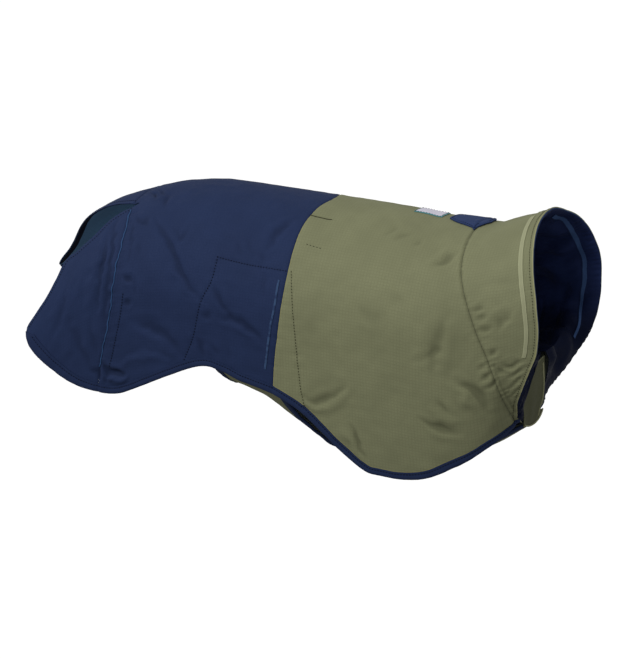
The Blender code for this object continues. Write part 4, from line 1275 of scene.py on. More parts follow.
def swept(name: str, rings: Array, along: Array, finishes: Sequence[str]) -> bpy.types.Object:
    """A closed strip made of cross-sections along a path.

    Args:
        name: The piece's name.
        rings: The cross-sections' points, one closed ring for each place along the path.
        along: How far along the path each ring is.
        finishes: The strip's finish.

    Returns:
        The piece.
    """
    count, size = rings.shape[:2]
    base = (np.arange(count - 1) * size)[:, None]
    a = np.arange(size)[None]
    b = (a + 1) % size
    faces = np.stack([base + a, base + size + a, base + size + b, base + b], axis=2).reshape(-1, 4)
    around = np.linalg.norm(np.roll(rings, -1, axis=1) - rings, axis=2).mean(axis=0)
    turn = np.concatenate([[0], np.cumsum(around)])
    u = np.stack([along[:-1], along[1:], along[1:], along[:-1]], axis=1)[:, None].repeat(size, axis=1)
    v = np.stack([turn[:-1], turn[:-1], turn[1:], turn[1:]], axis=1)[None].repeat(count - 1, axis=0)
    uv = np.stack([u, v], axis=3).reshape(-1, 2)
    points = rings.reshape(-1, 3)
    centre = points.mean(axis=0)
    corners = points[faces] - centre
    volume = np.einsum("ij,ij->i", corners[:, 0], np.cross(corners[:, 1], corners[:, 2])).sum()
    caps = [list(range(size)), list(range((count - 1) * size, count * size))[::-1]]
    mesh = bpy.data.meshes.new(name)
    listed = faces.tolist() + caps
    mesh.from_pydata(points.tolist(), [], listed)
    layer = mesh.uv_layers.new(name="pattern")
    cap_uv = np.column_stack([np.zeros(2 * size), np.tile(turn[:-1], 2)])
    layer.data.foreach_set("uv", np.concatenate([uv, cap_uv]).astype(np.float32).ravel())
    if volume < 0:
        mesh.flip_normals()
    mesh.shade_smooth()
    mesh.set_sharp_from_angle(angle=math.radians(50))
    return new_object(name, mesh, finishes)


# ---- sewn rows and cords, made with Geometry Nodes ----


@dataclass
class NodeTree:
    """A Geometry Nodes tree that turns drawn lines into something laid along them."""

    name: str

    def __post_init__(self) -> None:
        """Start the tree with a geometry input and output."""
        self.tree = bpy.data.node_groups.new(self.name, "GeometryNodeTree")
        self.tree.interface.new_socket("Geometry", in_out="OUTPUT", socket_type="NodeSocketGeometry")
        self.tree.interface.new_socket("Lines", in_out="INPUT", socket_type="NodeSocketGeometry")
        self.given = self.add("NodeGroupInput")

    def add_input(self, name: str, kind: str, default: "float | int | None" = None) -> None:
        """Give the tree a named input of this kind."""
        socket = self.tree.interface.new_socket(name, in_out="INPUT", socket_type=kind)
        if default is not None:
            socket.default_value = default

    def add(self, kind: str, inputs: "dict[str, object] | None" = None, **settings: object) -> bpy.types.Node:
        """Add a node.

        Args:
            kind: The node's type.
            inputs: Values or output sockets for its inputs, by name.
            settings: The node's own settings.

        Returns:
            The node.
        """
        node = self.tree.nodes.new(kind)
        for name, value in settings.items():
            setattr(node, name, value)
        for name, value in (inputs or {}).items():
            if isinstance(value, bpy.types.NodeSocket):
                self.tree.links.new(value, node.inputs[name])
            else:
                node.inputs[name].default_value = value
        return node

    def spaced(self, distance: str) -> Socket:
        """The drawn lines as curves with a point every so far, given by a named input."""
        curve = self.add("GeometryNodeMeshToCurve", {"Mesh": self.given.outputs["Lines"]})
        inputs = {"Curve": curve.outputs[0], "Length": self.given.outputs[distance]}
        return self.add("GeometryNodeResampleCurve", inputs, mode="LENGTH").outputs[0]

    def end(self, made: bpy.types.Node, finish_input: str) -> None:
        """Realise what a node made, smooth it, give it the finish of a named input and hand it out."""
        whole = self.add("GeometryNodeRealizeInstances", {"Geometry": made.outputs[0]})
        smooth = self.add("GeometryNodeSetShadeSmooth", {"Geometry": whole.outputs[0]})
        inputs = {"Geometry": smooth.outputs[0], "Material": self.given.outputs[finish_input]}
        dressed = self.add("GeometryNodeSetMaterial", inputs)
        self.add("NodeGroupOutput", {"Geometry": dressed.outputs[0]})

    def identifier(self, name: str) -> str:
        """The identifier of a named input."""
        for item in self.tree.interface.items_tree:
            if item.item_type == "SOCKET" and item.in_out == "INPUT" and item.name == name:
                return item.identifier
        raise KeyError(name)


def stitch_tree() -> NodeTree:
    """The tree that lays one thread stitch after another along drawn lines."""
    made = NodeTree("stitch row")
    made.add_input("Pitch", "NodeSocketFloat", 0.003)
    made.add_input("Stitch length", "NodeSocketFloat", 0.0021)
    made.add_input("Thickness", "NodeSocketFloat", 0.0005)
    made.add_input("Seed", "NodeSocketInt", SEED)
    made.add_input("Thread", "NodeSocketMaterial")
    given = made.given
    up = made.add("GeometryNodeInputNamedAttribute", {"Name": "up"}, data_type="FLOAT_VECTOR")
    tangent = made.add("GeometryNodeInputTangent")
    turned = made.add(
        "FunctionNodeAxesToRotation",
        {"Primary Axis": up.outputs["Attribute"], "Secondary Axis": tangent.outputs[0]},
        primary_axis="Z",
        secondary_axis="X",
    )
    uneven = made.add("FunctionNodeRandomValue", {"Seed": given.outputs["Seed"]}, data_type="FLOAT")
    uneven.inputs[2].default_value, uneven.inputs[3].default_value = 0.88, 1.08
    length = made.add("ShaderNodeMath", operation="MULTIPLY")
    made.tree.links.new(given.outputs["Stitch length"], length.inputs[0])
    made.tree.links.new(uneven.outputs[1], length.inputs[1])
    size = made.add(
        "ShaderNodeCombineXYZ",
        {"X": length.outputs[0], "Y": given.outputs["Thickness"], "Z": given.outputs["Thickness"]},
    )
    stitch = made.add("GeometryNodeMeshUVSphere", {"Segments": 6, "Rings": 4, "Radius": 0.5})
    lying = made.add(
        "GeometryNodeTransform", {"Geometry": stitch.outputs[0], "Rotation": (0.0, math.pi / 2, 0.0)}
    )
    placed = made.add(
        "GeometryNodeInstanceOnPoints",
        {
            "Points": made.spaced("Pitch"),
            "Instance": lying.outputs[0],
            "Rotation": turned.outputs[0],
            "Scale": size.outputs[0],
        },
    )
    made.end(placed, "Thread")
    return made


def cord_tree() -> NodeTree:
    """The tree that rolls a thin round cord along drawn lines."""
    made = NodeTree("edge cord")
    made.add_input("Spacing", "NodeSocketFloat", 0.002)
    made.add_input("Radius", "NodeSocketFloat", 0.0006)
    made.add_input("Finish", "NodeSocketMaterial")
    size = {"Resolution": 8, "Radius": made.given.outputs["Radius"]}
    profile = made.add("GeometryNodeCurvePrimitiveCircle", size)
    inputs = {"Curve": made.spaced("Spacing"), "Profile Curve": profile.outputs[0], "Fill Caps": True}
    made.end(made.add("GeometryNodeCurveToMesh", inputs), "Finish")
    return made


@dataclass
class DrawnRow:
    """A line in space to sew or pipe along, with the outward direction at each point."""

    points: Array
    up: Array


def lay_along(
    name: str, tree: NodeTree, rows: Sequence[DrawnRow], inputs: dict[str, object]
) -> bpy.types.Object:
    """Run a tree over drawn rows and keep the result as a plain mesh.

    Args:
        name: The piece's name.
        tree: The tree to run.
        rows: The drawn rows.
        inputs: The tree's inputs by name.

    Returns:
        The piece.
    """
    points = np.concatenate([row.points for row in rows])
    ends = np.cumsum([len(row.points) for row in rows])
    edges = [(k, k + 1) for k in range(len(points) - 1) if k + 1 not in ends]
    drawn = bpy.data.meshes.new(f"{name} lines")
    drawn.from_pydata(points.tolist(), edges, [])
    up = drawn.attributes.new("up", "FLOAT_VECTOR", "POINT")
    up.data.foreach_set("vector", np.concatenate([row.up for row in rows]).astype(np.float32).ravel())
    source = bpy.data.objects.new(f"{name} source", drawn)
    laid = source.modifiers.new(tree.name, "NODES")
    laid.node_group = tree.tree
    for each, value in inputs.items():
        laid[tree.identifier(each)] = value
    bpy.context.scene.collection.objects.link(source)
    graph = bpy.context.evaluated_depsgraph_get()
    mesh = bpy.data.meshes.new_from_object(source.evaluated_get(graph), depsgraph=graph)
    bpy.data.objects.remove(source)
    mesh.name = name
    return linked(name, mesh)


# ---- pieces ----


@dataclass
class Placing:
    """How a finished piece is entered: what it stands for, its material slot and its flat cut.

    The cut is a flat size, or the pattern grid of a piece that is cut as its grid lies.
    """

    slot: str
    nodes: tuple[str, ...] = ()
    flat: "tuple[float, float] | None" = None
    pattern: "Array | None" = None
    area: "float | None" = None
    held: Held = Held.DRAPED
    rests_on: tuple[str, ...] = ()

    def enter(self, piece: bpy.types.Object) -> bpy.types.Object:
        """Enter a piece.

        Args:
            piece: The piece.

        Returns:
            The same piece.
        """
        if self.pattern is not None:
            self.flat, self.area = cut_of(self.pattern)
        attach(piece, "root")
        if self.nodes:
            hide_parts(*self.nodes)
        piece.data.calc_loop_triangles()
        logging.info("%s: %d triangles", piece.name, len(piece.data.loop_triangles))
        return piece


def cut_of(grid: Array) -> tuple[tuple[float, float], float]:
    """The flat size of a piece that is cut as its grid lies in the pattern.

    Args:
        grid: The piece's pattern grid.

    Returns:
        Its width round the coat and length along it, and its area.
    """
    x, girth = grid.reshape(-1, 2)[rim_of(*grid.shape[:2])].T
    area = abs(np.dot(x, np.roll(girth, -1)) - np.dot(girth, np.roll(x, -1))) / 2
    return (float(np.ptp(girth)), float(np.ptp(x))), float(area)


@dataclass
class Coat:
    """What every sub-assembly shares: the worn form, the belly's form and the cut."""

    form: WornForm = field(default_factory=WornForm)
    cut: Cut = field(default_factory=Cut)

    def __post_init__(self) -> None:
        """Let the seams draw the cloth down."""
        self.belly = BellyForm(self.form)
        rows = [(self.cut.middle.points[::4], 0.0007, 0.00022), (self.cut.collar.points[::4], 0.001, 0.00014)]
        for side in Side:
            rows.append((self.cut.flap_seams[side].points[::4], 0.0009, 0.00022))
        for line, valley, pucker in rows:
            self.sew(line, valley=valley, pucker=pucker)
        for side in Side:
            for table in (PATCH_TOP, PATCH_REAR, PATCH_FRONT, REAR_STITCHING):
                self.sew(side_line(table, side).points[::4], valley=0.00035, pucker=0.00022, pitch=0.0095)
            tucks = self.cut.flap_seams[side]
            marks = np.linspace(0.012, tucks.marks[-1] - 0.05, 40)
            for away, depth in ((0.0042, 0.0006), (0.0078, 0.0004)):
                line = tucks.beside(marks, -side.value * away)
                self.sew(line, valley=depth, width=0.0013, pucker=0.00008)
            low, high = (self.cut.collar.mark_of_girth(side.value * girth) for girth in (0.178, 0.262))
            marks = np.linspace(low, high, 40)
            for away, depth in ((-0.0036, 0.0008), (-0.0019, -0.0004)):
                line = self.cut.collar.beside(marks, away)
                self.sew(line, valley=depth, width=0.0012, pucker=0.00015, pitch=0.007)
            self.sew(side_line(SHOULDER_DART, side).points[::4], valley=0.0009, width=0.0014, pucker=0.0)
        ridge = self.cut.collar.shifted(0.0026)
        self.sew(ridge.points[::4], valley=-0.0004, width=0.0014, pucker=0.00015)
        gathers = self.cut.neck.shifted(0.0032)
        self.sew(gathers.points[::4], valley=0.0003, pucker=0.00013, pitch=0.0056, reach=0.0048)
        for side in Side:
            marks = np.linspace(*(gathers.mark_of_girth(side.value * girth) for girth in (0.176, 0.232)), 20)
            self.sew(gathers.at(marks), valley=0.0, pucker=0.00018, pitch=0.0062, reach=0.01)

    def sew(self, line: Array, **sizes: float) -> None:
        """Let a sewn line draw the cloth down, with sizes named as in SeamLine."""
        self.form.seams.append(SeamLine(line, **sizes))

    def row(self, pattern: Array, out: float) -> DrawnRow:
        """A drawn row on the worn cloth."""
        return DrawnRow(self.form.worn(pattern, out), self.form.normals(pattern))

    def row_of(self, line: Line, start: float, end: float, out: float) -> DrawnRow:
        """A drawn row along a stretch of a line."""
        marks = np.linspace(start, end, max(3, round(abs(end - start) / 0.0022)))
        return self.row(line.at(marks), out)


@dataclass
class Shell:
    """The outer cloth: back panel, rear flaps, shoulder panel and collar."""

    coat: Coat
    step: float = 0.0016
    across: int = 270
    collar_across: int = 440
    flap_tip: float = 0.006

    def edge_distance(self, grid: Array, seams: Sequence[Line], at_binding: bool) -> Array:
        """How far the points of a grid are from the cloth's visible edges.

        Args:
            grid: The pattern grid.
            seams: The seams that bound it.
            at_binding: Whether the hem's binding shows such an edge too.

        Returns:
            The distances.
        """
        flat = grid.reshape(-1, 2)
        away = [self.coat.cut.inside_binding(flat) if at_binding else np.ones(len(flat))]
        away += [nearest(flat, seam.points[::6])[0] for seam in seams]
        return np.min(away, axis=0).reshape(grid.shape[:2])

    def lay(self, name: str, grid: Array, colour: str, seams: Sequence[Line]) -> None:
        """Lay one panel on the form.

        Args:
            name: The panel's CAD node.
            grid: Its pattern grid.
            colour: Its finish, and its slot with "_shell" after it.
            seams: The seams whose edge shows on it.
        """
        form = self.coat.form
        edge = self.edge_distance(grid, seams, colour != "navy")
        # The fold lift, which the shell cloth turns into painted shade in its troughs.
        fold = 1000 * form.pressed(grid.reshape(-1, 2))
        faces = (colour, f"{colour} inside")
        piece = shell(f"{name}_cloth", form.cloth(grid), CLOTH, grid, faces, edge, fold)
        Placing(f"{colour}_shell", (name,), pattern=grid).enter(piece)

    def band(
        self, first: Array, last: Array, first_feet: Sequence[float], last_feet: Sequence[float]
    ) -> Array:
        """The grid of a panel that crosses the back between two lines, down to the hem on each side.

        Args:
            first: The rear line's points.
            last: The front line's points.
            first_feet: The rear line's feet on the cloth's edge, right and left.
            last_feet: The front line's feet.

        Returns:
            The grid.
        """
        length = float(np.linalg.norm(first - last, axis=1).mean())
        s = graded(length, self.step)
        t = lengths_along(first) / lengths_along(first)[-1]
        sides = [self.coat.cut.edge.at(a + s * (b - a)) for a, b in zip(first_feet, last_feet)]
        return patch(first, last, *sides, s, t)

    def seam(self, line: Line, shares: Array) -> tuple[Array, list[float]]:
        """A seam's points between its feet on the cloth's edge."""
        (right_foot, right), (left_foot, left) = self.coat.cut.edge.crossings(line)
        return line.at(right + shares * (left - right)), [right_foot, left_foot]

    def back_panel(self) -> None:
        """Navy cloth over the rump and loin."""
        cut = self.coat.cut
        right, (right_foot, right_top) = cut.flap_line(Side.RIGHT, 1)
        left, (left_foot, left_top) = cut.flap_line(Side.LEFT, 1)
        steps = self.across // 2
        up = right.at(np.linspace(right_foot[1], right_top[1], steps))
        notch = cut.edge.at(np.linspace(right_top[0], left_top[0], 11))
        down = left.at(np.linspace(left_top[1], left_foot[1], steps))
        rear = np.vstack([up[:-1], notch, down[1:]])
        shares = lengths_along(rear) / lengths_along(rear)[-1]
        front, front_feet = self.seam(cut.middle.shifted(SEAM_GAP / 2), shares)
        grid = self.band(rear, front, [right_foot[0], left_foot[0]], front_feet)
        self.lay("back_panel", grid, "navy", [cut.middle])

    def shoulder_panel(self) -> None:
        """Olive cloth over the withers and ribs."""
        cut = self.coat.cut
        shares = np.linspace(0, 1, self.across + 1)
        rear, rear_feet = self.seam(cut.middle.shifted(-SEAM_GAP / 2), shares)
        front, front_feet = self.seam(cut.collar.shifted(SEAM_GAP / 2), shares)
        grid = self.band(rear, front, rear_feet, front_feet)
        self.lay("shoulder_panel", grid, "olive", [cut.middle])

    def collar(self) -> None:
        """The wide olive collar."""
        cut = self.coat.cut
        shares = np.linspace(0, 1, self.collar_across + 1)
        rear, rear_feet = self.seam(cut.collar.shifted(-SEAM_GAP / 2), shares)
        front, front_feet = self.seam(cut.neck, shares)
        grid = self.band(rear, front, rear_feet, front_feet)
        self.lay("collar", grid, "olive", [cut.neck])

    def rear_flap(self, side: Side) -> None:
        """The navy flap behind its seam on one side."""
        cut = self.coat.cut
        line, ((foot, seam_foot), (top, seam_top)) = cut.flap_line(side, -1)
        corner = cut.corners[side]
        below_top = top + side.value * self.flap_tip
        columns = 96
        s, t = graded(0.1, 0.0018), np.linspace(0, 1, columns + 1)
        rear = cut.edge.at(corner + t * (below_top - corner))
        seam = line.at(seam_foot + t * (seam_top - seam_foot))
        bottom = cut.edge.at(corner + s * (foot - corner))
        tip = cut.edge.at(below_top + s * (top - below_top))
        grid = patch(rear, seam, bottom, tip, s, t)
        grid = grid if side is Side.RIGHT else grid[:, ::-1]
        self.lay(f"rear_flap_{side.label}", grid, "navy", [])

    def build(self) -> None:
        """Build the outer cloth."""
        self.back_panel()
        self.shoulder_panel()
        self.collar()
        for side in Side:
            self.rear_flap(side)


@dataclass
class HemEdges:
    """The tape folded round the hem, and the facing and thin edge of the rear opening."""

    coat: Coat
    # The folded tape's section: share of its width from the fold, and height over the cloth's outer face.
    section: tuple[tuple[float, float], ...] = (
        (1.0, 0.00005), (1.0, 0.0008), (0.93, 0.001), (0.76, 0.00045), (0.6, 0.00095),
        (0.4, 0.0011), (0.2, 0.00095), (0.07, 0.0005), (0.01, -0.0001), (0.0, -0.0006),
        (0.01, -0.0011), (0.07, -0.0015), (0.2, -0.0018), (0.5, -0.00185), (0.8, -0.00165),
        (1.0, -0.00165), (1.0, -0.0013), (0.24, -0.0013), (0.18, -0.0006), (0.24, 0.0),
    )  # fmt: skip
    step: float = 0.0024
    facing_width: float = 0.0105
    facing_thickness: float = 0.0006

    def binding(self, side: Side) -> None:
        """One side's folded tape, from its rear corner to the chest."""
        cut = self.coat.cut
        corner = cut.corners[side]
        start = corner + side.value * 0.15 * BINDING_TAPER
        end = cut.chest_mark(side)
        marks = np.linspace(start, end, round(abs(end - start) / self.step))
        width = BINDING_WIDTH * cut.bound(marks)
        shares, heights = np.array(self.section).T
        wave = 0.0001 * np.sin(marks * 2 * math.pi / 0.021 + 2 * np.sin(marks * 71))
        wave += 0.00006 * np.sin(marks * 913)
        rings = []
        for share, height in zip(shares, heights):
            line = cut.hem.beside(marks, -width * share)
            rings.append(self.coat.form.worn(line, height + wave * (1 if height > 0 else -1)))
        piece = swept(f"hem_binding_{side.label}_tape", np.stack(rings, axis=1), marks, ("binding",))
        length = float(abs(end - start))
        Placing(
            "navy_binding",
            (f"hem_binding_{side.label}",),
            flat=(BINDING_CUT, length),
            held=Held.FOLDED,
            rests_on=("shoulder_panel_cloth",),
        ).enter(piece)

    def facing(self, side: Side) -> None:
        """The near-black facing inside one flap's rear edge; its darkness and its widening towards the notch
        are partly painted shadow under the top edge.
        """
        cut = self.coat.cut
        marks = np.linspace(cut.corners[side], cut.notch + side.value * 0.0003, 90)
        share = np.linspace(0, 1, 90)
        # The widening towards the notch is painted shadow of the flap's upper edge, beyond the facing's own
        # width.
        width = self.facing_width * (0.8 + 0.9 * smooth_step((share - 0.45) / 0.5))
        lines = [cut.hem.beside(marks, -(0.0004 + part * (width - 0.0004))) for part in np.linspace(0, 1, 5)]
        if side is Side.LEFT:
            lines = [line[::-1] for line in lines]
        grid = np.stack(lines, axis=1)
        worn = self.coat.form.worn(grid, -(CLOTH + 0.0005))
        piece = shell(f"rear_facing_{side.label}_tape", worn, self.facing_thickness, grid, ("facing",))
        Placing(
            "navy_binding",
            (f"rear_facing_{side.label}",),
            flat=(self.facing_width, float(lengths_along(lines[0])[-1])),
            rests_on=(f"rear_flap_{side.label}_cloth",),
        ).enter(piece)

    def build(self) -> None:
        """Build the hem's edges."""
        for side in Side:
            self.binding(side)
            self.facing(side)


@dataclass
class CollarInside:
    """The navy lining of the collar, its blue tape and the throat piece."""

    coat: Coat
    behind_seam: float = 0.006
    turns: float = 0.15
    foot_girth: float = 0.276
    reached: float = 0.55
    # The blue tape's path as (girth, share of the lining's depth), and its width as a share of the depth.
    tape_path: tuple[tuple[float, float], ...] = (
        (0.03, 0.9), (0.06, 0.86), (0.1, 0.81), (0.14, 0.8), (0.165, 0.755), (0.205, 0.74),
    )  # fmt: skip
    tape_share: float = 0.055
    tape_thickness: float = 0.0006
    # Half the throat's width from its top down, which the lining and the throat piece share, as
    # (share of the way down, half width).
    throat_right: tuple[tuple[float, float], ...] = (
        (0.0, 0.006), (0.05, 0.029), (0.12, 0.039), (0.2, 0.045), (0.3, 0.05), (0.42, 0.053), (0.52, 0.052),
        (0.62, 0.047), (0.75, 0.04), (0.88, 0.034), (1.0, 0.03),
    )  # fmt: skip
    throat_left: tuple[tuple[float, float], ...] = (
        (0.0, 0.001), (0.3, 0.005), (0.6, 0.0085), (0.85, 0.013), (0.95, 0.02), (1.0, 0.03),
    )  # fmt: skip
    throat_top: tuple[float, float, float] = (0.148, 0.0, -0.139)
    neck_floor: tuple[float, float, float] = (0.095, 0.0, -0.165)
    # How strongly the lining leaves the coat's inside and runs in level at the throat.
    leaving: float = 0.115
    arriving: float = 0.075
    gap: float = 0.0004
    rows: int = 44
    columns_above: int = 120
    columns_below: int = 84

    def inset(self, girth: Array) -> Array:
        """How far the lining lies inside the coat's outer face, more where it passes the binding."""
        return CLOTH + self.gap + 0.0009 * smooth_step((np.abs(girth) - 0.2) / 0.05)

    def foot(self, side: Side) -> Array:
        """Where the lining, the throat piece and the hem come together on one side."""
        girth = np.array([side.value * self.foot_girth])
        pattern = np.column_stack([self.coat.cut.neck_x(girth), girth])
        return self.coat.form.worn(pattern, -self.inset(girth))[0]

    def throat_half(self, side: Side, fall: "Array | float") -> Array:
        """Half the throat piece's width on one side, some share of the way down."""
        rows = self.throat_right if side is Side.RIGHT else self.throat_left
        return rising_curve(*np.array(rows).T, fall)

    def half(self, side: Side, depths: Array, above: int, below: int) -> tuple[Array, Array]:
        """Half of the lining, down to the throat.

        Args:
            side: The side.
            depths: A share for each row, 0 at the lining's rear and 1 at the neck edge.
            above: How many columns lie on the coat's inside.
            below: How many columns turn in to the throat.

        Returns:
            The grid in space, and its flat coordinates.
        """
        cut, form, sign = self.coat.cut, self.coat.form, side.value
        step = 0.0004
        girths = np.linspace(0, self.turns, above)
        shares = np.linspace(0, 1, below + 1)[1:]
        foot, top, floor = self.foot(side), np.array(self.throat_top), np.array(self.neck_floor)
        edge_girths = sign * (self.turns + shares * (self.foot_girth - self.turns))
        edge = form.worn(np.column_stack([cut.neck_x(edge_girths), edge_girths]), -self.inset(edge_girths))
        rows, flats = [], []
        girth = sign * np.append(girths, self.turns + step)
        behind = np.interp(girth, cut.collar.points[:, 1], cut.collar.points[:, 0]) - self.behind_seam
        for depth in depths:
            x = behind + depth * (cut.neck_x(girth) - behind)
            pattern = np.column_stack([x, girth])
            upper = form.worn(pattern, -self.inset(girth))
            leaving, upper = upper[-1] - upper[-2], upper[:-1]
            leaving *= self.leaving / np.linalg.norm(leaving)
            reach = 1.0
            if depth < self.reached:
                end = floor + depth / self.reached * (top - floor)
            else:
                fall = (depth - self.reached) / (1 - self.reached)
                straight = top + fall * (foot - top)
                end = straight * (1, 0, 1) + (0, sign * float(self.throat_half(side, fall)), 0)
                reach = np.linalg.norm(end - upper[-1]) / np.linalg.norm(straight - upper[-1])
            t = shares[:, None]
            lower = (
                (2 * t**3 - 3 * t**2 + 1) * upper[-1]
                + (t**3 - 2 * t**2 + t) * leaving * reach
                + (3 * t**2 - 2 * t**3) * end
                + (t**3 - t**2) * np.array([0, -sign * self.arriving, 0]) * reach
            )
            drawn = depth ** (5 / np.clip(t / 0.4, 0.04, 1))
            lower = lower + drawn * (edge - lower) * (1 - 0.8 * t**4 * (depth < 1))
            rows.append(np.vstack([upper, lower]))
            flat_lower = np.column_stack([np.full(len(shares), x[-1]), edge_girths])
            flats.append(np.vstack([pattern[:-1], flat_lower]))
        return np.array(rows), np.array(flats)

    def softened(self, grid: Array, flat: Array) -> Array:
        """The lining with its loose folds and its gathers at the neck edge.

        Args:
            grid: The smooth grid.
            flat: Its flat coordinates.

        Returns:
            The grid in space.
        """
        depth = np.linspace(0, 1, len(grid))[:, None]
        girth = flat[..., 1]
        loose = SoftNoise(0.06, 0.018, 30, SEED + 9).at(flat.reshape(-1, 2)).reshape(girth.shape)
        room = np.sin(math.pi * np.clip(depth, 0, 1)) ** 0.7
        waves = np.sin(girth * 2 * math.pi / 0.041 + 6.0 * (1 - depth) + 1.3 * np.sin(girth * 61))
        gathers = np.sin(girth * 2 * math.pi / 0.0052 + 1.9 * np.sin(girth * 157))
        gathers = gathers * smooth_step((depth - 0.8) / 0.1)
        inwards = 0.0016 * loose + 0.0028 * waves * (1 - 0.7 * smooth_step((depth - 0.7) / 0.15))
        inwards = (inwards - 0.0042) * room + 0.0004 * (gathers - 1) * smooth_step((1.0 - depth) / 0.05)
        return grid + inwards[..., None] * grid_normals(grid)

    def lining(self) -> None:
        """The navy lining, turned in below to the throat piece."""
        depths = graded(1.0, 1.0 / self.rows, (0.01, 0.025))
        halves = {side: self.half(side, depths, self.columns_above, self.columns_below) for side in Side}
        (right, right_flat), (left, left_flat) = halves[Side.RIGHT], halves[Side.LEFT]
        grid = np.concatenate([right[:, :0:-1], left], axis=1)
        flat = np.concatenate([right_flat[:, :0:-1], left_flat], axis=1)
        self.grid, self.flat = self.softened(grid, flat), flat
        piece = shell("collar_lining_cloth", self.grid, LINING * 0.8, flat, ("lining",))
        placing = Placing("navy_lining", ("collar_lining",), pattern=flat, rests_on=("collar_cloth",))
        placing.held = Held.GATHERED
        placing.enter(piece)

    def tape(self, side: Side) -> None:
        """The blue tape on the lining's inner face, one side's."""
        depths = graded(1.0, 1.0 / self.rows, (0.01, 0.025))
        marks = np.linspace(self.tape_path[0][0], self.tape_path[-1][0], 110)
        centre = rising_curve(*np.array(self.tape_path).T, marks)
        girths = side.value * np.abs(self.flat[0, :, 1])
        middle = self.grid.shape[1] // 2
        columns = np.arange(middle, self.grid.shape[1]) if side is Side.LEFT else np.arange(middle, -1, -1)
        place = np.interp(marks, np.abs(girths[columns]), columns)
        inner = self.grid - (LINING + 0.0002) * grid_normals(self.grid)
        strip, flat = [], []
        for offset in np.linspace(-0.5, 0.5, 5):
            row = np.interp(centre + offset * self.tape_share, depths, np.arange(len(depths)))
            strip.append(self.between(inner, row, place))
            flat.append(self.between(self.flat, row, place))
        strip, flat = np.array(strip), np.array(flat)
        if side is Side.RIGHT:
            strip, flat = strip[:, ::-1], flat[:, ::-1]
        name, along = f"lining_tape_{side.label}", flat[..., ::-1]
        piece = shell(f"{name}_strip", strip, self.tape_thickness, along, ("lining blue",))
        Placing("blue_tape", (name,)).enter(piece)

    @staticmethod
    def between(grid: Array, rows: Array, columns: Array) -> Array:
        """A grid's values at places between its rows and columns.

        Args:
            grid: The grid.
            rows: The places' rows, whole or not.
            columns: Their columns.

        Returns:
            One value for each place.
        """
        i = np.clip(np.floor(rows).astype(int), 0, grid.shape[0] - 2)
        j = np.clip(np.floor(columns).astype(int), 0, grid.shape[1] - 2)
        u, v = (rows - i)[:, None], (columns - j)[:, None]
        near = (1 - v) * grid[i, j] + v * grid[i, j + 1]
        return (1 - u) * near + u * ((1 - v) * grid[i + 1, j] + v * grid[i + 1, j + 1])

    def gusset(self) -> None:
        """The olive three-cornered piece that closes the throat."""
        foot_x = max(Belly.front, *(self.foot(side)[0] for side in Side))
        share = np.linspace(-1, 1, 31)
        front = self.coat.belly.smooth(np.column_stack([np.full(31, Belly.front), share * 0.0335]))
        heights = np.linspace(0, 1, 41)
        rows = []
        for height in heights:
            right, left = (float(self.throat_half(side, 1 - height)) for side in Side)
            half = np.where(share < 0, right + 0.0015, left)
            level = front[:, 2] + height * (self.throat_top[2] - front[:, 2])
            ahead = foot_x + height * (self.throat_top[0] - foot_x) + CLOTH + self.gap
            bulge = 0.004 * math.sin(math.pi * height) * (1 - share**2)
            fold = 0.0007 * np.sin(3 * math.pi * share + 2 * height) * (1 - share**2)
            fold = fold * math.sin(math.pi * height)
            margin = np.where(share < 0, 0.0012, -0.0016 * (1 - height)) * share**4
            rows.append(np.column_stack([ahead + bulge + fold + margin, share * half, level]))
        grid = np.array(rows).transpose(1, 0, 2)
        flat = np.stack([grid[..., 2], grid[..., 1]], axis=2)
        edge = (1 - np.abs(share))[:, None] * np.abs(grid[..., 1]).max(axis=0)[None]
        # The throat piece's outer face uses the olive cloth darkened as painted shade.
        piece = shell("throat_gusset_cloth", grid, CLOTH, flat, ("shaded throat olive", "olive inside"), edge)
        under = ("belly_panel_cloth",)
        Placing("olive_shell", ("throat_gusset",), pattern=flat, rests_on=under).enter(piece)
        self.gusset_grid = grid

    def build(self) -> None:
        """Build the collar's inside."""
        self.lining()
        for side in Side:
            self.tape(side)
        self.gusset()


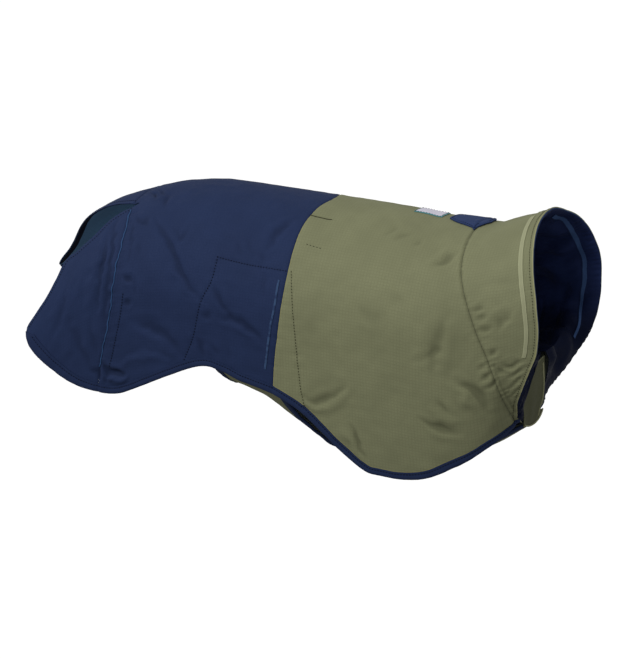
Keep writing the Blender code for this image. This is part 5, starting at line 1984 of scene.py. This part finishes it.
@dataclass
class Belly:
    """The olive belly panel, the tape round it and the straps that hold it to the sides."""

    coat: Coat
    rear: float = -0.165
    front: float = 0.1385
    webbing_width: float = 0.025
    webbing_thickness: float = 0.0012
    steps: int = 130
    across: int = 90

    def edges(self) -> dict[Side, Line]:
        """The finished side edges."""
        return {side: side_line(BELLY_EDGE, side) for side in Side}

    def panel(self) -> None:
        """The olive panel under chest and belly."""
        inner = {side: line.shifted(-side.value * CLOTH_INSET) for side, line in self.edges().items()}
        rear = self.rear + CLOTH_INSET
        sides = []
        for line in inner.values():
            start = float(np.interp(rear, line.points[:, 0], line.marks))
            points = line.at(np.linspace(start, line.marks[-1], self.steps + 1))
            points[0, 0], points[-1, 0] = rear, self.front
            sides.append(points)
        t = np.linspace(0, 1, self.across + 1)
        first, last = (sides[0][k] + t[:, None] * (sides[1][k] - sides[0][k]) for k in (0, -1))
        s = np.linspace(0, 1, self.steps + 1)
        grid = patch(first, last, *sides, s, t)[:, ::-1]
        lines, flat = self.edges().values(), grid.reshape(-1, 2)
        edges = [nearest(flat, line.points[::4])[0] - BINDING_WIDTH for line in lines]
        edge = np.min(edges, axis=0).reshape(grid.shape[:2])
        worn = self.coat.belly.worn(grid)
        piece = shell("belly_panel_cloth", worn, CLOTH, grid, ("olive", "olive inside"), edge)
        Placing("olive_shell", ("belly_panel",), pattern=grid).enter(piece)

    def bound(self, name: str, line: Line, marks: Array, inwards: float) -> None:
        """A tape folded round one edge of the panel.

        Args:
            name: The tape's CAD node.
            line: The finished edge.
            marks: Marks along it.
            inwards: 1 or -1, the side of the line on which the cloth lies.
        """
        shares, heights = np.array(HemEdges.section).T
        rings = [
            self.coat.belly.worn(line.beside(marks, inwards * share * BINDING_WIDTH), height)
            for share, height in zip(shares, heights)
        ]
        piece = swept(f"{name}_tape", np.stack(rings, axis=1), marks, ("binding",))
        flat = (BINDING_CUT, float(np.ptp(marks)))
        placing = Placing("navy_binding", (name,), flat, held=Held.FOLDED, rests_on=("belly_panel_cloth",))
        placing.enter(piece)

    def strap(self, side: Side) -> None:
        """The webbing that joins the panel's side edge to the coat's side."""
        line = side_line(GIRTH_STRAP, side)
        marks = np.linspace(0, line.marks[-1], 26)
        offsets = np.linspace(-self.webbing_width / 2, self.webbing_width / 2, 13)
        grid = line.strip(marks, offsets)
        worn = self.coat.form.worn(grid, -(CLOTH + 0.0003))
        flat = lattice(marks, offsets)
        piece = shell(f"girth_strap_{side.label}_webbing", worn, self.webbing_thickness, flat, ("webbing",))
        size = (self.webbing_width, float(line.marks[-1]))
        Placing("navy_webbing", (f"girth_strap_{side.label}",), flat=size, held=Held.STRETCHED).enter(piece)

    def build(self) -> None:
        """Build the belly's pieces."""
        self.panel()
        for side, line in self.edges().items():
            start = float(np.interp(self.rear + BINDING_WIDTH, line.points[:, 0], line.marks))
            marks = np.linspace(start, line.marks[-1], 120)
            self.bound(f"belly_binding_{side.label}", line, marks, -side.value)
            self.strap(side)
        girths = np.linspace(-BELLY_EDGE[0][1], BELLY_EDGE[0][1], 90)
        rear = Line(np.column_stack([np.full(90, self.rear), girths]))
        self.bound("belly_binding_rear", rear, rear.marks, -1)


@dataclass
class Trims:
    """The tapes, the piping, the lead opening's tab and the blank label."""

    coat: Coat
    tape_width: float = 0.004
    blue_width: float = 0.0022
    piping_width: float = 0.0016
    thickness: float = 0.0005
    sealing_width: float = 0.008
    sealing_thickness: float = 0.0003
    tab_thickness: float = 0.0012
    label_thickness: float = 0.0006
    label_x: tuple[float, float] = (0.014, 0.043)
    label_girth: tuple[float, float] = (-0.0025, 0.0225)

    def ribbon(
        self, name: str, line: Line, marks: Array, width: float, finishes: tuple[str, str], wave: float = 0.0
    ) -> None:
        """A narrow tape along a line of the pattern.

        Args:
            name: The tape's CAD node.
            line: The line.
            marks: Marks along it.
            width: The tape's width.
            finishes: Its finish and its material slot.
            wave: How far it wanders to both sides of the line.
        """
        offsets = np.linspace(-width / 2, width / 2, 5)
        crown = 0.0002 * (1 - (offsets / offsets[-1]) ** 2)
        turn = marks * 2 * math.pi
        wander = wave * (0.6 * np.sin(turn / 0.027) + 0.4 * np.sin(turn / 0.0117 + 2))
        grid = line.strip(marks, [offset + wander for offset in offsets])
        out = np.broadcast_to(self.thickness + 0.0001 + crown, grid.shape[:2])
        worn = self.coat.form.worn(grid, out)
        flat = lattice(marks, offsets)
        piece = shell(f"{name}_strip", worn, self.thickness, flat, finishes[:1])
        Placing(finishes[1], (name,)).enter(piece)

    def tapes(self, side: Side) -> None:
        """The tapes and piping of one side."""
        cut = self.coat.cut
        seam = cut.flap_seams[side]
        (_, foot), (_, top) = cut.flap_line(side, 1)[1]
        start = top + 0.004 if side is Side.RIGHT else seam.mark_of_girth(0.012)
        ends = np.linspace(start, foot - 0.024, 120)
        finishes, width = ("blue piping", "blue_tape"), self.piping_width
        self.ribbon(f"rear_piping_{side.label}", seam, ends, width, finishes, 0.0008)
        strip = side_line(SIDE_TAPE, side)
        marks, finishes = np.linspace(0, strip.marks[-1], 50), ("rubbed blue", "blue_tape")
        self.ribbon(f"side_tape_{side.label}", strip, marks, self.blue_width, finishes)
        collar = cut.neck.shifted(0.0113)
        start, end = sorted(collar.mark_of_girth(side.value * girth) for girth in (0.01, 0.18))
        marks, finishes = np.linspace(start, end, 90), ("olive tape", "olive_tape")
        self.ribbon(f"collar_tape_{side.label}", collar, marks, self.tape_width, finishes)

    def sealing_tape(self, name: str, line: Line, start: float, end: float) -> None:
        """The tape that seals a seam on the coat's inside.

        Args:
            name: The seam's name.
            line: The seam.
            start: Its first mark.
            end: Its last mark.
        """
        marks = np.linspace(start, end, 300)
        offsets = np.linspace(-self.sealing_width / 2, self.sealing_width / 2, 7)
        grid = line.strip(marks, offsets)
        worn = self.coat.form.worn(grid, -(CLOTH + 0.0002))
        flat = lattice(marks, offsets)
        piece = shell(f"seam_tape_{name}", worn, self.sealing_thickness, flat, ("facing",))
        Placing("navy_binding").enter(piece)

    def sealing(self) -> None:
        """The sealing tapes of the middle seam and the rear flap seams."""
        cut = self.coat.cut
        (_, right), (_, left) = cut.edge.crossings(cut.middle)
        first, last = sorted((right, left))
        self.sealing_tape("middle", cut.middle, first + 0.01, last - 0.01)
        for side in Side:
            (_, foot), (_, top) = cut.flap_line(side, 1)[1]
            self.sealing_tape(f"rear_{side.label}", cut.flap_seams[side], *sorted((top + 0.012, foot - 0.01)))

    def tab(self) -> None:
        """The navy tab over the lead opening, with its point towards the right."""
        places, near = np.array(LEASH_TAB).T
        x = np.linspace(places[0], places[-1], 41)
        near = rising_curve(places, near, x)
        far = 2 * LEASH_TAB_MIDDLE - near
        share = np.linspace(0, 1, 29)
        girth = near[:, None] + share * (far - near)[:, None]
        grid = np.stack([np.repeat(x[:, None], len(share), axis=1), girth], axis=2)
        edge = np.minimum(share, 1 - share)[None] * (far - near)[:, None]
        edge = np.minimum(edge, np.minimum(x - x[0], x[-1] - x)[:, None])
        crown = 0.0016 + 0.0007 * smooth_step(edge / 0.003)
        crown -= 0.0004 * np.exp(-(((edge - 0.0022) / 0.0008) ** 2))
        worn = self.coat.form.worn(grid, crown)
        piece = shell("leash_tab_cloth", worn, self.tab_thickness, grid, ("tab navy",), edge + 1)
        under = ("shoulder_panel_cloth",)
        Placing("navy_shell", ("leash_tab",), pattern=grid, rests_on=under).enter(piece)
        self.tab_grid = grid

    def label(self) -> None:
        """The blank label sewn on the back line."""
        x, girth = np.linspace(*self.label_x, 33), np.linspace(*self.label_girth, 39)
        grid = lattice(x, girth)
        away = np.minimum(
            np.minimum(x - x[0], x[-1] - x)[:, None], np.minimum(girth - girth[0], girth[-1] - girth)[None]
        )
        out = 0.0008 + 0.0003 * smooth_step(away / 0.002)
        worn = self.coat.form.worn(grid, out)
        piece = shell("label_cloth_blank", worn, self.label_thickness, grid, ("label",), away)
        size, _ = cut_of(grid)
        Placing("label_cloth", ("label",), size, rests_on=("shoulder_panel_cloth",)).enter(piece)
        self.label_grid = grid

    def build(self) -> None:
        """Build the trims."""
        for side in Side:
            self.tapes(side)
        self.sealing()
        self.tab()
        self.label()


@dataclass
class Stitching:
    """Every row of stitches, and the thin cords along edges, laid with Geometry Nodes."""

    coat: Coat
    trims: Trims
    inside: CollarInside
    pitch: float = 0.0029
    stitch_length: float = 0.0018
    thread: float = 0.0008
    cord_spacing: float = 0.0022

    def border(self, grid: Array, inset: float, out: float) -> DrawnRow:
        """A row round a grid's border, a little inside it.

        Args:
            grid: The piece's pattern grid.
            inset: How far inside the border the row runs.
            out: How far out from the cloth it lies.

        Returns:
            The closed row.
        """
        ring = grid.reshape(-1, 2)[rim_of(*grid.shape[:2])]
        middle = ring.mean(axis=0)
        away = ring - middle
        ring = middle + away * (1 - inset / np.linalg.norm(away, axis=1))[:, None]
        return self.coat.row(np.vstack([ring, ring[:1]]), out)

    def navy_rows(self) -> list[DrawnRow]:
        """The rows sewn with navy thread."""
        coat, cut = self.coat, self.coat.cut
        rows = []
        for side in Side:
            corner = cut.corners[side] + side.value * BINDING_TAPER
            end = cut.chest_mark(side) - side.value * 0.002
            rows.append(coat.row_of(cut.hem.shifted(-0.74 * BINDING_WIDTH), corner, end, 0.00075))
            for table in (PATCH_TOP, PATCH_REAR, REAR_STITCHING):
                line = side_line(table, side)
                rows.append(coat.row_of(line, 0.0, line.marks[-1], 0.00045))
            rear = cut.hem.shifted(-0.004)
            rows.append(coat.row_of(rear, cut.corners[side], cut.notch + side.value * 0.01, 0.0002))
        rows.append(self.border(self.trims.tab_grid, 0.0022, 0.0019))
        return rows

    def olive_rows(self) -> list[DrawnRow]:
        """The rows sewn with thread darker than the olive cloth."""
        coat, cut = self.coat, self.coat.cut
        rows = []
        for side in Side:
            for table, out in ((PATCH_FRONT, 0.00045), (SIDE_TACK, 0.0001)):
                line = side_line(table, side)
                rows.append(coat.row_of(line, 0.0, line.marks[-1], out))
        neck = cut.neck.shifted(0.003)
        start, end = (neck.mark_of_girth(girth) for girth in (-0.262, 0.262))
        rows.append(coat.row_of(neck, start, end, 0.00028))
        rows.append(self.border(self.trims.label_grid, 0.0012, 0.001))
        return rows

    def throat_rows(self) -> list[DrawnRow]:
        """The lines of the light cord on the throat piece."""
        grid, up = self.inside.gusset_grid, grid_normals(self.inside.gusset_grid)
        falls = np.linspace(0.08, 0.93, 60)
        columns = (1 - falls) * (grid.shape[1] - 1)
        places = np.interp(falls, (0.08, 0.2, 0.6, 0.93), (-0.006, -0.006, 0.0005, 0.008))
        rows = [np.interp(y, grid[:, round(c), 1], np.arange(len(grid))) for y, c in zip(places, columns)]
        edge = CollarInside.between(grid, np.array(rows), columns)
        edge_up = CollarInside.between(up, np.array(rows), columns)
        front = DrawnRow(grid[:, 0] + 0.0004 * up[:, 0], up[:, 0])
        return [DrawnRow(edge + 0.0003 * edge_up, edge_up), front]

    def build(self) -> None:
        """Lay the rows and the cords."""
        sewing, rolling = stitch_tree(), cord_tree()
        size = {"Pitch": self.pitch, "Stitch length": self.stitch_length, "Thickness": self.thread}
        for name, rows, thread, slot in (
            ("stitches_navy", self.navy_rows(), "navy thread", "navy_binding"),
            ("stitches_olive", self.olive_rows(), "dark thread", "olive_shell"),
        ):
            inputs = {**size, "Seed": SEED, "Thread": finish(thread)}
            Placing(slot).enter(lay_along(name, sewing, rows, inputs))

        coat, cut = self.coat, self.coat.cut
        start, end = (cut.neck.mark_of_girth(girth) for girth in (-0.272, 0.272))
        cord, roll = (coat.row_of(cut.neck, start, end, out) for out in (-0.0004, -0.0014))
        # The shoulder darts get a continuous dark cord: partly their sewn line, partly painted shade in the
        # seam's valley.
        darts = [side_line(SHOULDER_DART, side) for side in Side]
        darts = [coat.row_of(line, 0.0, line.marks[-1], 0.0003) for line in darts]
        rear = [coat.row_of(cut.hem, cut.corners[s], cut.notch + s.value * 0.004, -0.0006) for s in Side]
        rims = (
            ("neck_edge_cord", [cord], 0.0005, "olive cord", "olive_tape"),
            ("neck_edge_roll", [roll], 0.0005, "lining blue", "blue_tape"),
            ("throat_piping", self.throat_rows(), 0.0008, "olive cord", "olive_tape"),
            ("shoulder_dart_seam", darts, 0.0004, "dark thread", "olive_shell"),
            ("rear_edge_cord", rear, 0.0006, "binding", "navy_binding"),
        )
        for name, rows, radius, colour, slot in rims:
            inputs = {"Spacing": self.cord_spacing, "Radius": radius, "Finish": finish(colour)}
            Placing(slot).enter(lay_along(name, rolling, rows, inputs))


def towards(azimuth: float, elevation: float) -> Vector:
    """The direction from the coat to a place round it, in degrees from its right side towards its front."""
    turn, rise = math.radians(azimuth), math.radians(elevation)
    return Vector((math.sin(turn) * math.cos(rise), -math.cos(turn) * math.cos(rise), math.sin(rise)))


@dataclass
class Studio:
    """The plain floor, the soft lights and the camera."""

    azimuth: float = 22.0
    elevation: float = 15.0
    distance: float = 3.5
    look_at: tuple[float, float, float] = (-0.0933, 0.0, -0.1372)
    focal_pixels: float = 3500.0
    image_height: int = 659
    floor_height: float = -1.2
    above: float = 0.66
    below: float = 0.36

    def camera(self) -> None:
        """The camera at the photograph's viewing angle."""
        back = towards(self.azimuth, self.elevation)
        lens = bpy.data.cameras.new("camera")
        lens.sensor_fit = "AUTO"
        lens.sensor_width = 36.0
        lens.lens = 36.0 * self.focal_pixels / self.image_height
        made = linked("camera", lens)
        turn = back.to_track_quat("Z", "Y").to_matrix().to_4x4()
        made.matrix_world = Matrix.Translation(Vector(self.look_at) + self.distance * back) @ turn
        bpy.context.scene.camera = made

    def floor(self) -> None:
        """The plain pale floor, well below the coat."""
        mesh = bpy.data.meshes.new("floor")
        reach, low = 16.0, self.floor_height
        corners = [(-reach, -reach, low), (reach, -reach, low), (reach, reach, low), (-reach, reach, low)]
        mesh.from_pydata(corners, [], [(0, 1, 2, 3)])
        surface = Surface("pale floor")
        soft = surface.ranged(surface.noise(1.5, 2.0), 0.3, 0.7)
        surface.set(Base_Color=surface.mix(soft, (0.93, 0.93, 0.93), (0.95, 0.95, 0.95)), Roughness=0.9)
        surface.set(Specular_IOR_Level=0.1)
        mesh.materials.append(surface.material)
        made = linked("floor", mesh)
        made.visible_diffuse = made.visible_glossy = False

    def light(self, name: str, azimuth: float, elevation: float, strength: float, softness: float) -> None:
        """A distant soft light.

        Args:
            name: The light's name.
            azimuth: Where it stands, in degrees from the coat's right side towards its front.
            elevation: How high it stands, in degrees.
            strength: Its strength in watts a square metre.
            softness: How wide it looks from the coat, in degrees.
        """
        lamp = bpy.data.lights.new(name, "SUN")
        lamp.energy, lamp.angle = strength, math.radians(softness)
        made = linked(name, lamp)
        made.matrix_world = towards(azimuth, elevation).to_track_quat("Z", "Y").to_matrix().to_4x4()

    def sky(self) -> None:
        """The soft surround, brighter above than below."""
        world = bpy.data.worlds.new("studio")
        world.use_nodes = True
        tree = world.node_tree
        where = tree.nodes.new("ShaderNodeTexCoord")
        split = tree.nodes.new("ShaderNodeSeparateXYZ")
        height = tree.nodes.new("ShaderNodeMapRange")
        height.inputs["From Min"].default_value, height.inputs["From Max"].default_value = -0.6, 0.8
        height.inputs["To Min"].default_value, height.inputs["To Max"].default_value = self.below, self.above
        tree.links.new(where.outputs["Generated"], split.inputs[0])
        tree.links.new(split.outputs[2], height.inputs["Value"])
        tree.links.new(height.outputs[0], tree.nodes["Background"].inputs["Strength"])
        tree.nodes["Background"].inputs["Color"].default_value = (1.0, 1.0, 1.0, 1.0)
        bpy.context.scene.world = world

    def build(self) -> None:
        """Set up the studio."""
        self.camera()
        self.floor()
        self.sky()
        bpy.context.scene.view_settings.view_transform = "Standard"
        self.light("key", -20.0, 44.0, 1.98, 16.0)
        self.light("side", -80.0, 30.0, 0.35, 30.0)


def main() -> None:
    """Build the coat and the studio, and report each piece."""
    logging.basicConfig(level=logging.INFO, format="%(message)s")
    coat = Coat()
    Shell(coat).build()
    HemEdges(coat).build()
    inside = CollarInside(coat)
    inside.build()
    Belly(coat).build()
    trims = Trims(coat)
    trims.build()
    Stitching(coat, trims, inside).build()
    Studio().build()


if __name__ == "__main__":
    main()
